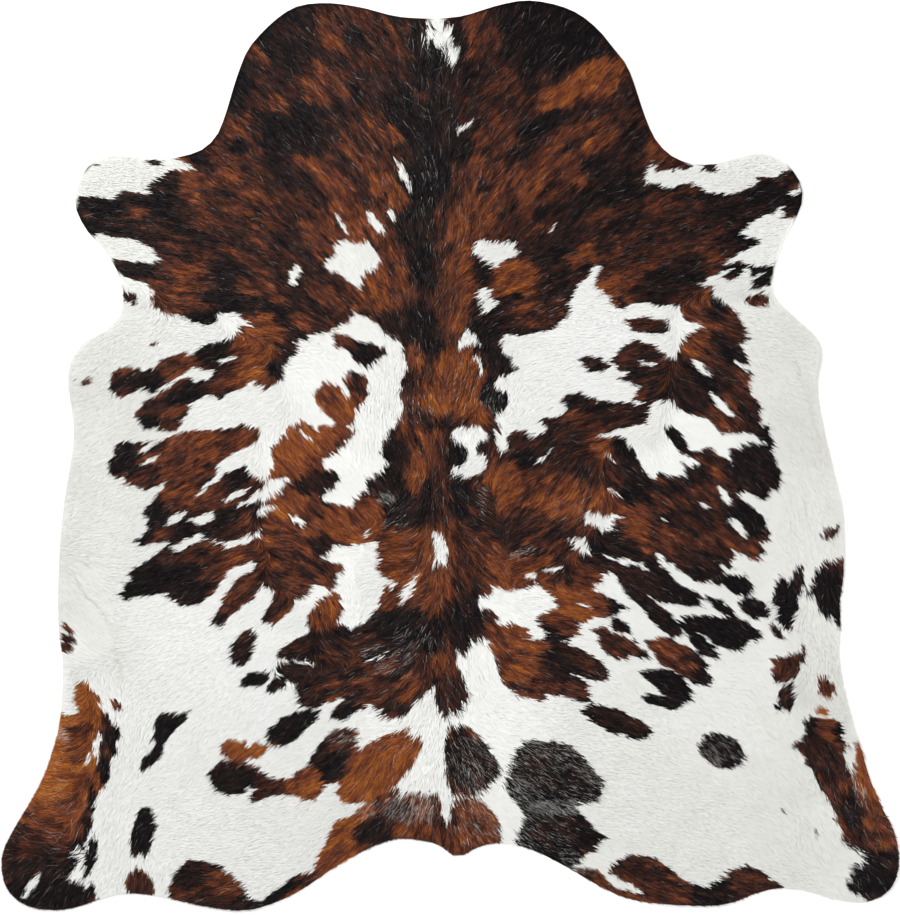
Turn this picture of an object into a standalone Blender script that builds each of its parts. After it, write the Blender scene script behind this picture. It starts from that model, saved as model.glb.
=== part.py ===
"""Cowhide rug: one whole tanned hide with its hair on, lying flat, hair side up.

Metres, +Z up. +Y points to the neck and +X to the right of the hide as seen from above.
The origin is on the floor, under the middle of the hide's outline.
"""

import math
from collections import namedtuple

import bmesh
import bpy
import numpy as np
from mathutils.geometry import delaunay_2d_cdt

# Driving dimensions, in metres.
HIDE_WIDTH = 2.115  # across the two hind shanks
HIDE_LENGTH = 2.146  # from the top of the neck to the lowest point of the rump
SKIN = 0.0020  # thickness of the tanned leather
PILE = 0.0032  # height of the short coat lying on the leather
CUT_EDGE = 0.0024  # height of the cut edge, leather with the last flattened hair

# Distances in from the cut edge at which the coat has reached a part of its height.
RIM_SHAPE = {0.0: 0.0, 0.007: 0.6, 0.020: 1.0}

# Spacing of the mesh, in metres.
EDGE_STEP = 0.028
FIELD_STEP = 0.052
SPINE_STEP = 0.030
SPINE_ACROSS = -0.05  # the spine runs a little left of the middle
SPINE_HALF_WIDTH = 0.06

# The outline, anticlockwise from the nape, as (across, along) in cm from the middle of the hide.
OUTLINE = {
    "neck, left": [
        (-11.6, 103.4),
        (-21.7, 105.8),
        (-30.5, 106.7),
        (-37.9, 105.1),
        (-46.9, 96.8),
        (-50.0, 90.2),
        (-54.6, 76.4),
        (-58.3, 72.3),
        (-63.5, 70.5),
    ],
    "fore leg, left": [
        (-69.9, 69.7),
        (-79.4, 70.9),
        (-83.6, 69.5),
        (-86.8, 66.4),
        (-88.4, 62.0),
        (-88.2, 57.9),
        (-85.7, 53.0),
    ],
    "flank, left": [
        (-81.4, 47.9),
        (-78.4, 43.1),
        (-77.1, 37.8),
        (-77.8, 32.9),
        (-81.2, 29.5),
        (-86.1, 26.8),
        (-89.2, 22.6),
        (-90.0, 17.2),
        (-88.7, 5.0),
        (-91.1, -11.6),
        (-92.0, -22.0),
        (-92.4, -40.5),
        (-91.4, -48.5),
    ],
    "hind shank, left": [
        (-92.2, -63.3),
        (-96.2, -76.4),
        (-105.2, -92.4),
        (-105.8, -97.5),
        (-104.4, -102.3),
        (-100.5, -105.8),
        (-95.0, -107.1),
        (-89.0, -106.7),
    ],
    "rump, left": [
        (-79.0, -103.5),
        (-71.5, -103.5),
        (-50.0, -107.2),
        (-38.2, -104.1),
        (-25.3, -95.9),
        (-13.5, -90.5),
        (-3.8, -91.3),
    ],
    "tail root": [
        (-1.2, -92.7),
        (0.3, -94.1),
        (1.6, -94.6),
        (3.2, -94.2),
        (5.7, -92.7),
    ],
    "rump, right": [
        (9.0, -91.6),
        (13.5, -91.4),
        (18.5, -92.6),
        (24.5, -95.4),
        (38.0, -102.9),
        (45.5, -105.2),
        (60.5, -106.1),
        (66.5, -105.4),
        (72.0, -103.3),
        (77.5, -102.0),
    ],
    "hind shank, right": [
        (82.7, -102.3),
        (89.0, -104.0),
        (96.4, -105.3),
        (100.8, -104.5),
        (104.0, -102.0),
        (105.6, -98.2),
        (105.8, -93.5),
        (104.6, -88.2),
        (101.9, -82.9),
        (99.2, -76.6),
        (97.3, -70.3),
        (95.3, -64.4),
        (92.3, -51.5),
    ],
    "flank, right": [
        (91.7, -45.5),
        (92.1, -40.0),
        (91.9, -34.8),
        (92.8, -28.0),
        (92.2, -12.5),
        (90.5, -4.4),
        (86.4, 16.5),
        (87.4, 24.8),
        (85.6, 28.5),
        (77.6, 36.0),
        (76.1, 40.2),
    ],
    "fore leg, right": [
        (78.6, 50.4),
        (81.6, 55.9),
        (83.1, 60.0),
        (82.8, 63.7),
        (80.6, 67.4),
        (77.2, 70.3),
        (72.7, 71.2),
        (62.5, 68.8),
        (57.5, 68.7),
    ],
    "neck, right": [
        (52.5, 70.5),
        (48.7, 74.2),
        (46.3, 79.2),
        (41.9, 91.5),
        (38.5, 96.0),
        (34.8, 100.5),
        (30.0, 104.3),
        (24.5, 106.4),
        (17.9, 107.3),
        (11.5, 106.2),
        (1.5, 103.4),
    ],
}

# A soft swelling: its middle, half length and half width in cm, the heading of its length
# in degrees from +X, and its rise in mm.
Swell = namedtuple("Swell", "across along heading half_length half_width rise")

# Where the leather lifts off the floor in a soft fold or along its edge.
FOLDS = {
    "belly fold, left": Swell(-85, -40, -60, 24, 6, 6.0),
    "second belly fold, left": Swell(-78, -55, -64, 20, 6, 3.5),
    "flank edge, left": Swell(-92, 15, 88, 22, 10, 6.0),
    "flank edge, low left": Swell(-94, -22, 87, 18, 9, 4.0),
    "fore leg edge, left": Swell(-90, 61, 75, 16, 9, 5.0),
    "hock edge, left": Swell(-99, -77, 64, 18, 9, 4.5),
    "hoof end, left": Swell(-104, -103, 125, 14, 9, 5.0),
    "neck edge, left": Swell(-48, 100, 55, 20, 9, 4.5),
    "neck edge, right": Swell(41, 97, -55, 20, 9, 4.0),
    "fore leg edge, right": Swell(83, 66, -60, 15, 9, 5.0),
    "flank edge, right": Swell(89, 25, 88, 13, 9, 6.0),
    "flank crease, right": Swell(82, 16, 20, 9, 4, 3.0),
    "belly edge, right": Swell(94, -18, 93, 24, 9, 5.0),
    "hock edge, right": Swell(100, -72, -66, 18, 9, 4.5),
    "hoof end, right": Swell(106, -97, -80, 13, 9, 5.0),
    "rump edge, left": Swell(-54, -109, 0, 24, 8, 3.5),
    "rump edge, right": Swell(57, -108, 0, 22, 8, 3.5),
    "shoulder hump": Swell(-1, 64, 0, 15, 13, 4.0),
}

# Where the coat lies thicker than PILE, or thinner.
COAT = {
    "spine": Swell(-5, 5, 92, 105, 11, 1.8),
    "nape": Swell(-2, 90, 90, 17, 12, 1.6),
    "nape parting": Swell(-6, 88, 90, 15, 4, -2.0),
    "tail root": Swell(2, -84, 90, 16, 14, 1.8),
    "rump, left": Swell(-18, -84, 30, 20, 12, 1.2),
    "rump, right": Swell(25, -82, 90, 18, 13, 1.2),
    "shank, left": Swell(-94, -82, 66, 34, 15, 1.6),
    "shank, right": Swell(98, -82, -64, 34, 14, 1.6),
    "belly, left": Swell(-84, -18, 90, 50, 12, -0.8),
    "belly, right": Swell(84, 4, 96, 46, 11, -0.8),
}

CM = 0.01
MM = 0.001


def clear_scene():
    for thing in list(bpy.data.objects):
        bpy.data.objects.remove(thing, do_unlink=True)


def resample(points, step):
    """Evenly spaced points along a closed polyline."""
    looped = np.vstack([points, points[:1]])
    along = np.concatenate([[0.0], np.cumsum(np.linalg.norm(np.diff(looped, axis=0), axis=1))])
    count = round(along[-1] / step)
    wanted = np.linspace(0.0, along[-1], count, endpoint=False)
    return np.column_stack([np.interp(wanted, along, looped[:, axis]) for axis in (0, 1)])


def smooth_closed(anchors, per_span=12):
    """A closed cubic curve through the anchors, its tangents set by each anchor's neighbours."""
    before, after = np.roll(anchors, 1, axis=0), np.roll(anchors, -1, axis=0)
    gap = np.linalg.norm(after - anchors, axis=1)
    tangent = (after - before) / (gap + np.roll(gap, 1))[:, None]
    t = np.linspace(0.0, 1.0, per_span, endpoint=False)[None, :, None]
    start, end = anchors[:, None], after[:, None]
    leave = (tangent * gap[:, None])[:, None]
    arrive = (np.roll(tangent, -1, axis=0) * gap[:, None])[:, None]
    curve = (
        (2 * t**3 - 3 * t**2 + 1) * start
        + (t**3 - 2 * t**2 + t) * leave
        + (3 * t**2 - 2 * t**3) * end
        + (t**3 - t**2) * arrive
    )
    return curve.reshape(-1, 2)


def hide_outline():
    """The cut edge as a closed polyline, centred and scaled to the driving width and length."""
    anchors = CM * np.array([point for stretch in OUTLINE.values() for point in stretch])
    edge = resample(smooth_closed(anchors), EDGE_STEP)
    low, high = edge.min(axis=0), edge.max(axis=0)
    return (edge - (low + high) / 2) * np.array([HIDE_WIDTH, HIDE_LENGTH]) / (high - low)


def distance_to(edge, points):
    """Each point's distance to the nearest place on the closed polyline."""
    start = edge[None]
    run = (np.roll(edge, -1, axis=0) - edge)[None]
    away = points[:, None] - start
    share = np.clip((away * run).sum(axis=2) / (run**2).sum(axis=2), 0.0, 1.0)
    return np.linalg.norm(away - share[..., None] * run, axis=2).min(axis=1)


def inside(edge, points):
    """Which points lie within the closed polyline, by counting crossings to their right."""
    x, y = points[:, :1], points[:, 1:]
    x0, y0 = edge.T
    x1, y1 = np.roll(edge, -1, axis=0).T
    spans = (y0 > y) != (y1 > y)
    rise = np.where(y1 == y0, 1.0, y1 - y0)
    crossing = x0 + (y - y0) * (x1 - x0) / rise
    return (spans & (crossing > x)).sum(axis=1) % 2 == 1


def inner_ring(edge, depth):
    """The outline moved inwards by a depth."""
    run = np.roll(edge, -1, axis=0) - np.roll(edge, 1, axis=0)
    inwards = np.column_stack([-run[:, 1], run[:, 0]]) / np.linalg.norm(run, axis=1)[:, None]
    ring = edge + depth * inwards
    return ring[distance_to(edge, ring) > 0.97 * depth]


def staggered(step):
    """A field of points in staggered rows, wide enough for the whole hide."""
    row_step = step * math.sqrt(3) / 2
    columns = np.arange(-HIDE_WIDTH / 2, HIDE_WIDTH / 2, step)
    rows = np.arange(-HIDE_LENGTH / 2, HIDE_LENGTH / 2, row_step)
    field = [(x + step / 2 * (row % 2), y) for row, y in enumerate(rows) for x in columns]
    return np.array(field)


def field_points(edge):
    """Points over the hide, closer together along the spine and clear of the rim's rings."""
    coarse, fine = staggered(FIELD_STEP), staggered(SPINE_STEP)
    from_spine = np.abs(coarse[:, 0] - SPINE_ACROSS)
    coarse = coarse[from_spine > SPINE_HALF_WIDTH + SPINE_STEP / 2]
    fine = fine[np.abs(fine[:, 0] - SPINE_ACROSS) <= SPINE_HALF_WIDTH]
    field = np.vstack([coarse, fine])
    field = field[inside(edge, field)]
    return field[distance_to(edge, field) > max(RIM_SHAPE) + EDGE_STEP / 2]


def swelling(table, points):
    """The summed rise of a table's swells at each point, in metres. Each ends within its sides."""
    total = np.zeros(len(points))
    for swell in table.values():
        heading = math.radians(swell.heading)
        away = points - CM * np.array([swell.across, swell.along])
        lengthwise = away @ np.array([math.cos(heading), math.sin(heading)])
        sideways = away @ np.array([-math.sin(heading), math.cos(heading)])
        reach = (lengthwise / (CM * swell.half_length)) ** 2 + (sideways / (CM * swell.half_width)) ** 2
        total += MM * swell.rise * np.clip(1.0 - reach, 0.0, None) ** 2
    return total


def thickness(edge, points):
    """Leather and coat together, drawn down to the cut edge at the rim."""
    full = SKIN + PILE + swelling(COAT, points)
    share = np.interp(distance_to(edge, points), list(RIM_SHAPE), list(RIM_SHAPE.values()))
    return CUT_EDGE + share * (full - CUT_EDGE)


def hide_material():
    material = bpy.data.materials.new("hair on leather")
    material.use_nodes = True
    shader = material.node_tree.nodes["Principled BSDF"]
    shader.inputs["Base Color"].default_value = (0.30, 0.16, 0.10, 1.0)
    shader.inputs["Roughness"].default_value = 0.6
    shader.inputs["Metallic"].default_value = 0.0
    return material


def make_hide():
    """Triangles over the outline, once on the floor side and once on the coat side, joined by the cut edge."""
    edge = hide_outline()
    rings = [inner_ring(edge, depth) for depth in RIM_SHAPE if depth > 0.0]
    points = np.vstack([edge, *rings, field_points(edge)])
    rim = list(range(len(edge)))
    flat, _, triangles, *_ = delaunay_2d_cdt([tuple(p) for p in points], [], [rim], 1, 1e-6)
    flat = np.array([tuple(p) for p in flat])
    floor_side = swelling(FOLDS, flat)
    coat_side = floor_side + thickness(edge, flat)

    hide = bmesh.new()
    under = [hide.verts.new((x, y, z)) for (x, y), z in zip(flat, floor_side)]
    over = [hide.verts.new((x, y, z)) for (x, y), z in zip(flat, coat_side)]
    for triangle in triangles:
        hide.faces.new([under[i] for i in reversed(triangle)])
        hide.faces.new([over[i] for i in triangle])
    hide.verts.ensure_lookup_table()
    open_edges = [side for side in hide.edges if side.is_boundary]
    bmesh.ops.bridge_loops(hide, edges=open_edges)
    bmesh.ops.triangulate(hide, faces=hide.faces)
    bmesh.ops.recalc_face_normals(hide, faces=hide.faces)

    mesh = bpy.data.meshes.new("hide")
    hide.to_mesh(mesh)
    hide.free()
    mesh.shade_smooth()
    mesh.set_sharp_from_angle(angle=math.radians(50))
    mesh.materials.append(hide_material())
    rug = bpy.data.objects.new("hide", mesh)
    bpy.context.scene.collection.objects.link(rug)
    return rug


clear_scene()
make_hide()
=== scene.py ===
# %% [markdown]
# # A cowhide rug
# One whole tanned hide with its hair on, lying flat on the floor. Two things make it look real: the leather
# sheet with its soft folds, and the coat, which is hundreds of thousands of short hairs that all lie the way
# they grew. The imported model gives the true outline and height, and everything here is fitted to it.

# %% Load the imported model
import math
from collections import namedtuple

import bmesh
import bpy
import numpy as np
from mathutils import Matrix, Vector
from mathutils.bvhtree import BVHTree
from mathutils.geometry import delaunay_2d_cdt


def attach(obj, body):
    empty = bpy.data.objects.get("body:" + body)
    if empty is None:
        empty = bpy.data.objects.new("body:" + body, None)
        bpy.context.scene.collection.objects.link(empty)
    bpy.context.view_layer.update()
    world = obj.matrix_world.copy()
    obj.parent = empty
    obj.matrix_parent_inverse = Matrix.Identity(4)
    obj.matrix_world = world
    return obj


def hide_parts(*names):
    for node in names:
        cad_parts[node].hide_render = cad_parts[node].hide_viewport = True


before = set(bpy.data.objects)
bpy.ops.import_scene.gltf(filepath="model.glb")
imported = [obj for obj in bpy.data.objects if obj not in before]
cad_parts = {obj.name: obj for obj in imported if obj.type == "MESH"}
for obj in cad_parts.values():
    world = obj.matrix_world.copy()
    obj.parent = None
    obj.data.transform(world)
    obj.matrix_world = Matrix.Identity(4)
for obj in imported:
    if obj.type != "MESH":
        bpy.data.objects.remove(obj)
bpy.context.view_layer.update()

CM = 0.01
MM = 0.001
bpy.ops.object.select_all(action="DESELECT")

# %% [markdown]
# ## Camera
# The photo looks straight down. A long lens from high above keeps both ends of the hide at one scale, and its
# height follows from how much floor one pixel covers.

# %% Camera
PHOTO_HEIGHT = 915  # pixels
PIXEL = 2.36 * MM  # floor covered by one pixel of the photo
VIEW_CENTRE = Vector((-0.5 * MM, -5.2 * MM, 0))  # what lies under the middle of the picture
LENS = 85  # mm, on a sensor 36 mm wide

camera_data = bpy.data.cameras.new("camera_above")
camera_data.lens = LENS
camera_data.clip_end = 50
camera = bpy.data.objects.new("camera_above", camera_data)
bpy.context.scene.collection.objects.link(camera)
camera.location = VIEW_CENTRE + Vector((0, 0, PHOTO_HEIGHT * PIXEL * LENS / camera_data.sensor_width))
bpy.context.scene.camera = camera
bpy.context.scene.view_settings.view_transform = "Standard"
print("camera", round(camera.location.z, 2), "m above the floor")

# %% [markdown]
# ## Floor and light
# A plain, almost white floor, and the soft light of a studio: a large softbox to the upper left that draws
# out the lie of the hair, a weaker one opposite, and a pale sky that fills the rest.

# %% Floor and light
FLOOR_SIZE = 14
FLOOR_DEPTH = 0.3 * MM  # the floor is this far below the leather, so that the two faces never coincide
FLOOR_WHITE = (0.94, 0.94, 0.94)
SKY_STRENGTH = 0.7
Softbox = namedtuple("Softbox", "name place size power")
SOFTBOXES = [
    Softbox("softbox_left", (-2.6, 2.2, 3.4), 2.4, 170),
    Softbox("softbox_right", (2.8, -1.4, 3.6), 3.0, 55),
]


def softbox(row):
    light = bpy.data.lights.new(row.name, "AREA")
    light.size = row.size
    light.energy = row.power
    lamp = bpy.data.objects.new(row.name, light)
    lamp.location = row.place
    lamp.rotation_euler = (-Vector(row.place)).to_track_quat("-Z", "Y").to_euler()
    lamp.visible_camera = False
    bpy.context.scene.collection.objects.link(lamp)


def plain(name, colour, roughness):
    material = bpy.data.materials.new(name)
    material.use_nodes = True
    shader = material.node_tree.nodes["Principled BSDF"]
    shader.inputs["Base Color"].default_value = (*colour, 1)
    shader.inputs["Roughness"].default_value = roughness
    return material


for row in SOFTBOXES:
    softbox(row)
sky = bpy.data.worlds.new("studio")
sky.use_nodes = True
sky.node_tree.nodes["Background"].inputs["Color"].default_value = (1, 1, 1, 1)
sky.node_tree.nodes["Background"].inputs["Strength"].default_value = SKY_STRENGTH
bpy.context.scene.world = sky

bpy.ops.mesh.primitive_plane_add(size=FLOOR_SIZE, location=(0, 0, -FLOOR_DEPTH))
floor = bpy.context.object
floor.name = "studio_floor"
floor.data.materials.append(plain("studio_white", FLOOR_WHITE, roughness=0.7))

# %% [markdown]
# ## The markings
# The animal's coat is white with patches of black and chestnut brindle. The patches are charted in centimetres
# from the middle of the hide: first the coloured masses, then the white clearings inside them, then the spots.
# Only the corners that give a patch its shape are listed; the ragged edge comes from the hairs.

# %% Chart of the coloured masses
COLOURED = {
    "neck, shoulders and fore legs": [
        (-120, 125), (120, 125), (120, 44.7), (71.2, 44.5), (64.4, 43.6), (57.6, 40), (62, 36), (62, 30),
        (60.2, 30.2), (55.9, 31.6), (53.8, 34.5), (46, 36.3),
        (43.5, 35.8), (40.8, 34.1), (38.6, 34.8), (34.2, 40.2),
        (36, 44), (34.8, 44.8), (30, 40.4), (28.4, 36), (28.6, 33.6), (24.5, 29.6), (18, 28.3), (13.5, 28.7),
        (11.4, 26.5), (0, 24), (-10.8, 26.5), (-13, 26.6), (-17.4, 30.9), (-22.8, 34), (-23.8, 31.8),
        (-26.6, 30.6), (-27, 29.5), (-31, 28.8), (-36.9, 26.3), (-35.5, 24.8), (-38.5, 21.8), (-39.6, 17.6),
        (-43.8, 15.4), (-46.5, 17.6), (-49.5, 15.6), (-54, 13.3), (-57.7, 14.4), (-61, 20), (-60, 24.4),
        (-57, 26.8), (-51.4, 27.4), (-49.8, 29.8), (-47, 31.2), (-51.5, 33.8), (-54.8, 33.2), (-57.5, 30.5),
        (-59.8, 30.9), (-63, 32.8), (-68, 33.4), (-70.8, 36.2), (-69.8, 38.2), (-71.5, 40.4), (-78.1, 42.2),
        (-120, 42),
    ],
    "spine": [
        (-12, 28), (-10.9, 23), (-9.9, 20.3), (-12, 18), (-11.2, 11), (-12.5, 8.5), (-13.2, 6.2), (-16, 4),
        (-16.4, 0.5), (-14.3, -2.3), (-19.6, -5.6), (-20.3, -8), (-23.2, -11.8), (-29, -12), (-30, -21.6),
        (-17.4, -20.6), (-17.2, -27), (-13, -30.6), (-15.6, -38), (-5, -52), (2.2, -53), (-0.4, -47.5),
        (-1, -43.8), (2.3, -47), (4, -46.3), (6.6, -43.4), (8.4, -43.6), (7, -34), (9.8, -32.6), (9, -28),
        (14, 1.4), (13, 4.2), (11, 3.4), (12.2, 7.3), (10.1, 8.5), (13.9, 12.4), (13.6, 15.2), (10.4, 16.4),
        (11.5, 18.4), (16.2, 20.2), (12.6, 24.4), (11.5, 28),
    ],
    "right flank": [
        (57.6, 40.2), (61.4, 39.8), (62, 38), (64, 36.6),
        (66.8, 34.4), (69.8, 30.2), (70.8, 27.6), (68.8, 26),
        (70.3, 22), (71.5, 19), (70.7, 15.6), (73, 11.8), (73.6, 7), (75.4, 7.4), (76.2, 0.6), (78, -3.5),
        (77.4, -7.8), (73.6, -10.6), (70, -8.6), (67.8, -9.3), (71.2, -12.2), (74.4, -14.8), (75.5, -18.5),
        (75.2, -20.6), (72.8, -20), (74.8, -22.8), (72.2, -25.4), (67, -22.6), (66.6, -26), (64.8, -27.8),
        (69.4, -28), (71.2, -30), (71.8, -31.8), (70.2, -33.9), (67.4, -33.3), (63.4, -30.4), (61.8, -29.5),
        (59.6, -30.3), (57.4, -29.4), (53.4, -26.6), (47.8, -22.2), (50, -26.2), (54, -30.1), (60.2, -33.4),
        (58.8, -35.6), (49.5, -34.9), (46.7, -33.2), (52, -37.8), (54.5, -40), (55.1, -41.9), (53.4, -42.9),
        (51.4, -42.9), (48.2, -40), (44.8, -35.6), (40.6, -31.6), (38.4, -28),
        (36.4, -27.4), (35.6, -30.4), (33, -31.3), (20.6, -30.6), (17.5, -31.8), (12.5, -31.8), (8, -30.3),
        (4, -28), (8, 1), (14.2, 1.4), (13.2, 4.2), (15, 5.6), (17.5, 5.7), (20, 4.2), (22.7, 5.2),
        (22.2, 6.8), (20.5, 8.2), (25.2, 9.2), (27.8, 11.4), (26.8, 13.2), (28.2, 15), (31, 14.6),
        (34.5, 13.1), (41, 12.6), (45.8, 11.8), (42.8, 13.6), (44.6, 16), (39.4, 18.4), (42.8, 19.3),
        (39.6, 20.6), (37.4, 22.3), (40.4, 25.2), (43.4, 27.1), (48.4, 26), (50.3, 23.5), (52.8, 22.2),
        (53.8, 25.4), (56, 28.6), (60.2, 30.2),
    ],
    "left flank, upper bar": [
        (-80.6, 17.2), (-79.4, 19.6), (-75.4, 21.6), (-72.6, 20), (-70.3, 20.8), (-66.4, 23.4), (-63, 24.4),
        (-59.8, 23.8), (-57, 26.6), (-50, 27.8), (-50, 16), (-56.6, 19.6), (-60.8, 20.2), (-66.4, 16.9),
        (-70.2, 14.9), (-72.8, 15.6), (-77.2, 13), (-80, 14.8),
    ],
    "left flank, lower bar": [
        (-74.8, 9.4), (-72.4, 12.6), (-67.8, 15.3), (-62.4, 18.2), (-58, 18), (-50, 17), (-54, 13.3),
        (-57.9, 14.3), (-61.3, 11.6), (-62, 9.2), (-64.6, 5.9), (-66.5, 5.4), (-69.4, 6.4), (-72.4, 6),
    ],
    "left belly": [
        (-79.2, 2.6), (-76.6, 3.6), (-72, 2.6), (-67.5, 4), (-62, 5.8), (-54.5, 6), (-50, 7.2), (-46.2, 6.8),
        (-43.8, 5.4), (-46.8, 2.8), (-51.8, -0.2), (-54.2, -2), (-55.8, -5), (-60, -10.2), (-54, -5),
        (-51.8, -3.9), (-48.8, -2.2), (-47.4, -3.8), (-42.4, -6.4), (-45, -8.3), (-48, -10.4), (-51, -12.6),
        (-46.5, -11.3), (-42, -10), (-37, -12), (-40, -15.2), (-43.6, -16.8), (-45, -18.4), (-54, -20.6),
        (-57.6, -19.9), (-59.5, -18.4), (-63, -20.6), (-67, -22), (-67, -20.2), (-74, -21.6), (-75, -20.2),
        (-71.2, -17.8), (-71.2, -16), (-72.6, -13.8), (-69.6, -10.2), (-66.8, -6), (-71.4, -8.2),
        (-76.2, -7), (-76.6, -5), (-80.8, -4.8),
    ],
    "left flank, low bar": [
        (-70, -23.8), (-74.6, -26.2), (-76.2, -28), (-75, -29.2),
        (-77.8, -32.6), (-77, -34.7), (-69.6, -32.4),
        (-67.4, -32.6), (-64.2, -35.2), (-62.1, -35.8), (-57.7, -34.6), (-54.6, -31.4), (-51.2, -26),
        (-46, -24.7), (-40, -26), (-40.6, -16.8), (-46, -20), (-52, -21.6), (-57.7, -20), (-60.5, -20.5),
        (-63.6, -22.6), (-66.7, -22),
    ],
    "left of the loin": [
        (-42.2, 1.6), (-38.9, 5.7), (-34.8, 8.2), (-33.3, 7.8), (-32.5, 6.2), (-27.2, 7.5), (-29.5, 10.2),
        (-32.6, 13.8), (-30.3, 17.2), (-26.2, 16.3), (-25.6, 18.3), (-23, 20), (-19.7, 18.5),
        (-18.8, 14.2), (-21.3, 11.8), (-22.2, 8.4), (-24, 6.6), (-21.3, 5.8), (-27.4, 0.4), (-29.8, -1.2),
        (-29.8, -3.4), (-27.2, -4.1), (-26, -5.8), (-30.2, -10.4), (-29, -11.5), (-23.2, -12), (-20, -20.6),
        (-27.6, -21.6), (-30, -24.4), (-26.6, -25.2), (-25.2, -26.6), (-26.4, -30.2), (-28.4, -31.9),
        (-31.5, -30.2), (-34.2, -34), (-37, -35.3), (-39.2, -38), (-42, -40.3), (-44.4, -38.4),
        (-41.9, -34.3), (-41, -32.1), (-44.8, -31.2), (-46, -33.6), (-51, -37.3), (-54, -40.4),
        (-57, -40.6), (-55.2, -37.6), (-53.4, -33.4), (-51, -29.8), (-47.5, -28), (-45.6, -26.6),
        (-46, -24), (-42, -10), (-40.4, -8), (-37.5, -5.4), (-43.6, -5.6), (-41.8, -2.3),
    ],
    "left of the loin, oval": [
        (-28, 28.6), (-25, 28.9), (-21, 26.8), (-18.5, 26.6), (-14.8, 25.5), (-15.4, 23.5), (-20, 20.6),
        (-23, 22.4), (-23.8, 24.3), (-27, 25.6),
    ],
    "right fore leg, bar": [(65.5, 45.4), (70, 45.2), (69.6, 43.4), (66, 41), (64.3, 41.8), (67, 43.8)],
    "right fore leg, block": [(70, 45), (76.8, 44.6), (76.2, 40.1), (70.1, 38.8), (71.9, 41), (70.6, 43)],
    "right fore leg, dash": [(69.3, 36), (71, 38), (74, 38.4), (75.2, 37), (74.8, 35.4), (70, 35.2)],
    "left of the tail": [
        (-41, -47.4), (-39.6, -45.2), (-37.1, -43.6), (-33, -41.7), (-34.4, -39), (-32.4, -36.2),
        (-32, -34.5), (-28.4, -32), (-26, -32.5), (-25, -37), (-26.4, -39.6), (-23, -41.2), (-18, -37.6),
        (-15.6, -31), (0, -34), (2, -52), (-4, -54.2), (-6, -56), (-9.2, -59.6), (-12, -61.5), (-14.8, -61.8),
        (-17.4, -60.4), (-19.5, -58.7), (-22.4, -60.6), (-24.6, -62.8), (-27.8, -62), (-27.5, -60),
        (-25, -56.2), (-28, -58), (-31, -59.6), (-35.2, -59.4), (-36.4, -55.9), (-38.6, -52), (-42.4, -51.2),
        (-38.6, -48.6),
    ],
    "left thigh, oval": [
        (-43, -67.4), (-42.6, -64.6), (-41, -62.2), (-36.8, -60.6), (-33, -59.9), (-30, -60.2), (-31.6, -63),
        (-35, -65.8), (-38.6, -68.4), (-41.6, -68.6),
    ],
    "left thigh, slash": [
        (-70.2, -62), (-66.4, -60.5), (-61, -60.3), (-63.6, -64), (-67.3, -67.6), (-67.4, -70),
        (-70.4, -73.4), (-73.2, -74.4), (-72.4, -71.4), (-70, -69), (-70.2, -66),
    ],
    "left thigh, band": [
        (-47.6, -77.4), (-44.4, -74.4), (-41.6, -76.4), (-37.8, -76.2),
        (-36.2, -74.4), (-32.6, -73.6), (-30, -76),
        (-29.2, -78.6), (-31, -81), (-34.8, -81.2), (-38, -80), (-41, -79.9), (-43.6, -80.8), (-46, -81.8),
        (-47.4, -80.8), (-46.4, -79),
    ],
    "right of the tail": [
        (6.5, -36), (9.8, -36.2), (11.3, -38), (10.8, -39.8), (12.6, -40.4), (14, -39), (18.4, -41),
        (17.8, -43.4), (23.6, -42.6), (20.2, -40), (19.8, -38.2), (25.2, -35.6), (21, -30), (33, -31.2),
        (37.5, -33.2), (41.8, -35.8), (40, -37.4), (37.6, -38.5), (34.4, -38.1), (32.6, -37.7), (33, -39),
        (30.8, -39.9), (31.3, -42), (28.4, -43), (27.2, -43.8), (31, -45.9), (35.2, -48.3), (35.8, -49.4),
        (37.9, -51), (37.5, -52.7), (36, -53.5), (30.4, -52), (27.4, -51.2), (30, -52.2), (32.4, -53.9),
        (33.6, -58.3), (29.7, -57.8), (22.3, -56.3), (21.5, -58.1), (16.2, -57), (12.2, -53.4), (9.6, -46.5),
        (8.4, -43.6),
    ],
    "right thigh, fleck": [
        (37.4, -38.5), (41, -39), (42.5, -40.6), (42.4, -42.7), (40.6, -42.2), (38.4, -41.2),
    ],
    "right thigh, fork": [
        (33, -41.3), (35.2, -40.4), (37, -40.1), (38, -41.4), (41, -43.2), (43.7, -43.8), (43.5, -44.9),
        (45.4, -45.9), (46.9, -47.2), (46.3, -48.1), (44, -47.5), (42.4, -46.9), (41.8, -49), (38.6, -47.9),
        (35.9, -46.3), (35.7, -44.8), (34.7, -43.6), (34.8, -42.4),
    ],
    "right thigh, oval": [
        (45.9, -43.6), (50, -42.9), (54.9, -44.1), (59.3, -47.1), (60.5, -49.4), (62.1, -52.7), (60.6, -54.4),
        (56.9, -53.8), (54.6, -52.9), (52.5, -50.8), (49.8, -49.2), (47.7, -46.8),
    ],
    "right thigh, mitten": [
        (44.2, -50.9), (49.4, -50), (51.8, -50.4), (55.8, -53.6), (57.5, -55.8), (56.6, -57.7), (54.9, -58.5),
        (53.5, -60.5), (51.7, -60), (45.7, -58.3), (45.1, -57),
        (47, -55.9), (50.8, -57), (49, -55.5), (46.5, -53),
    ],
    "right thigh, bar": [
        (54.1, -38.2), (58.4, -37.6), (67.8, -37.9), (69.7, -39.1), (72, -40.5), (73.7, -43), (72.5, -44.3),
        (70.7, -43.8), (69.3, -45.5), (67.2, -46.6), (64.2, -45.4), (61.9, -44.6), (62.9, -46.6),
        (62.3, -48.1), (59.8, -47.5), (58, -45.9), (56.5, -43), (54.6, -40.4),
    ],
    "right thigh, comet": [
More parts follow.
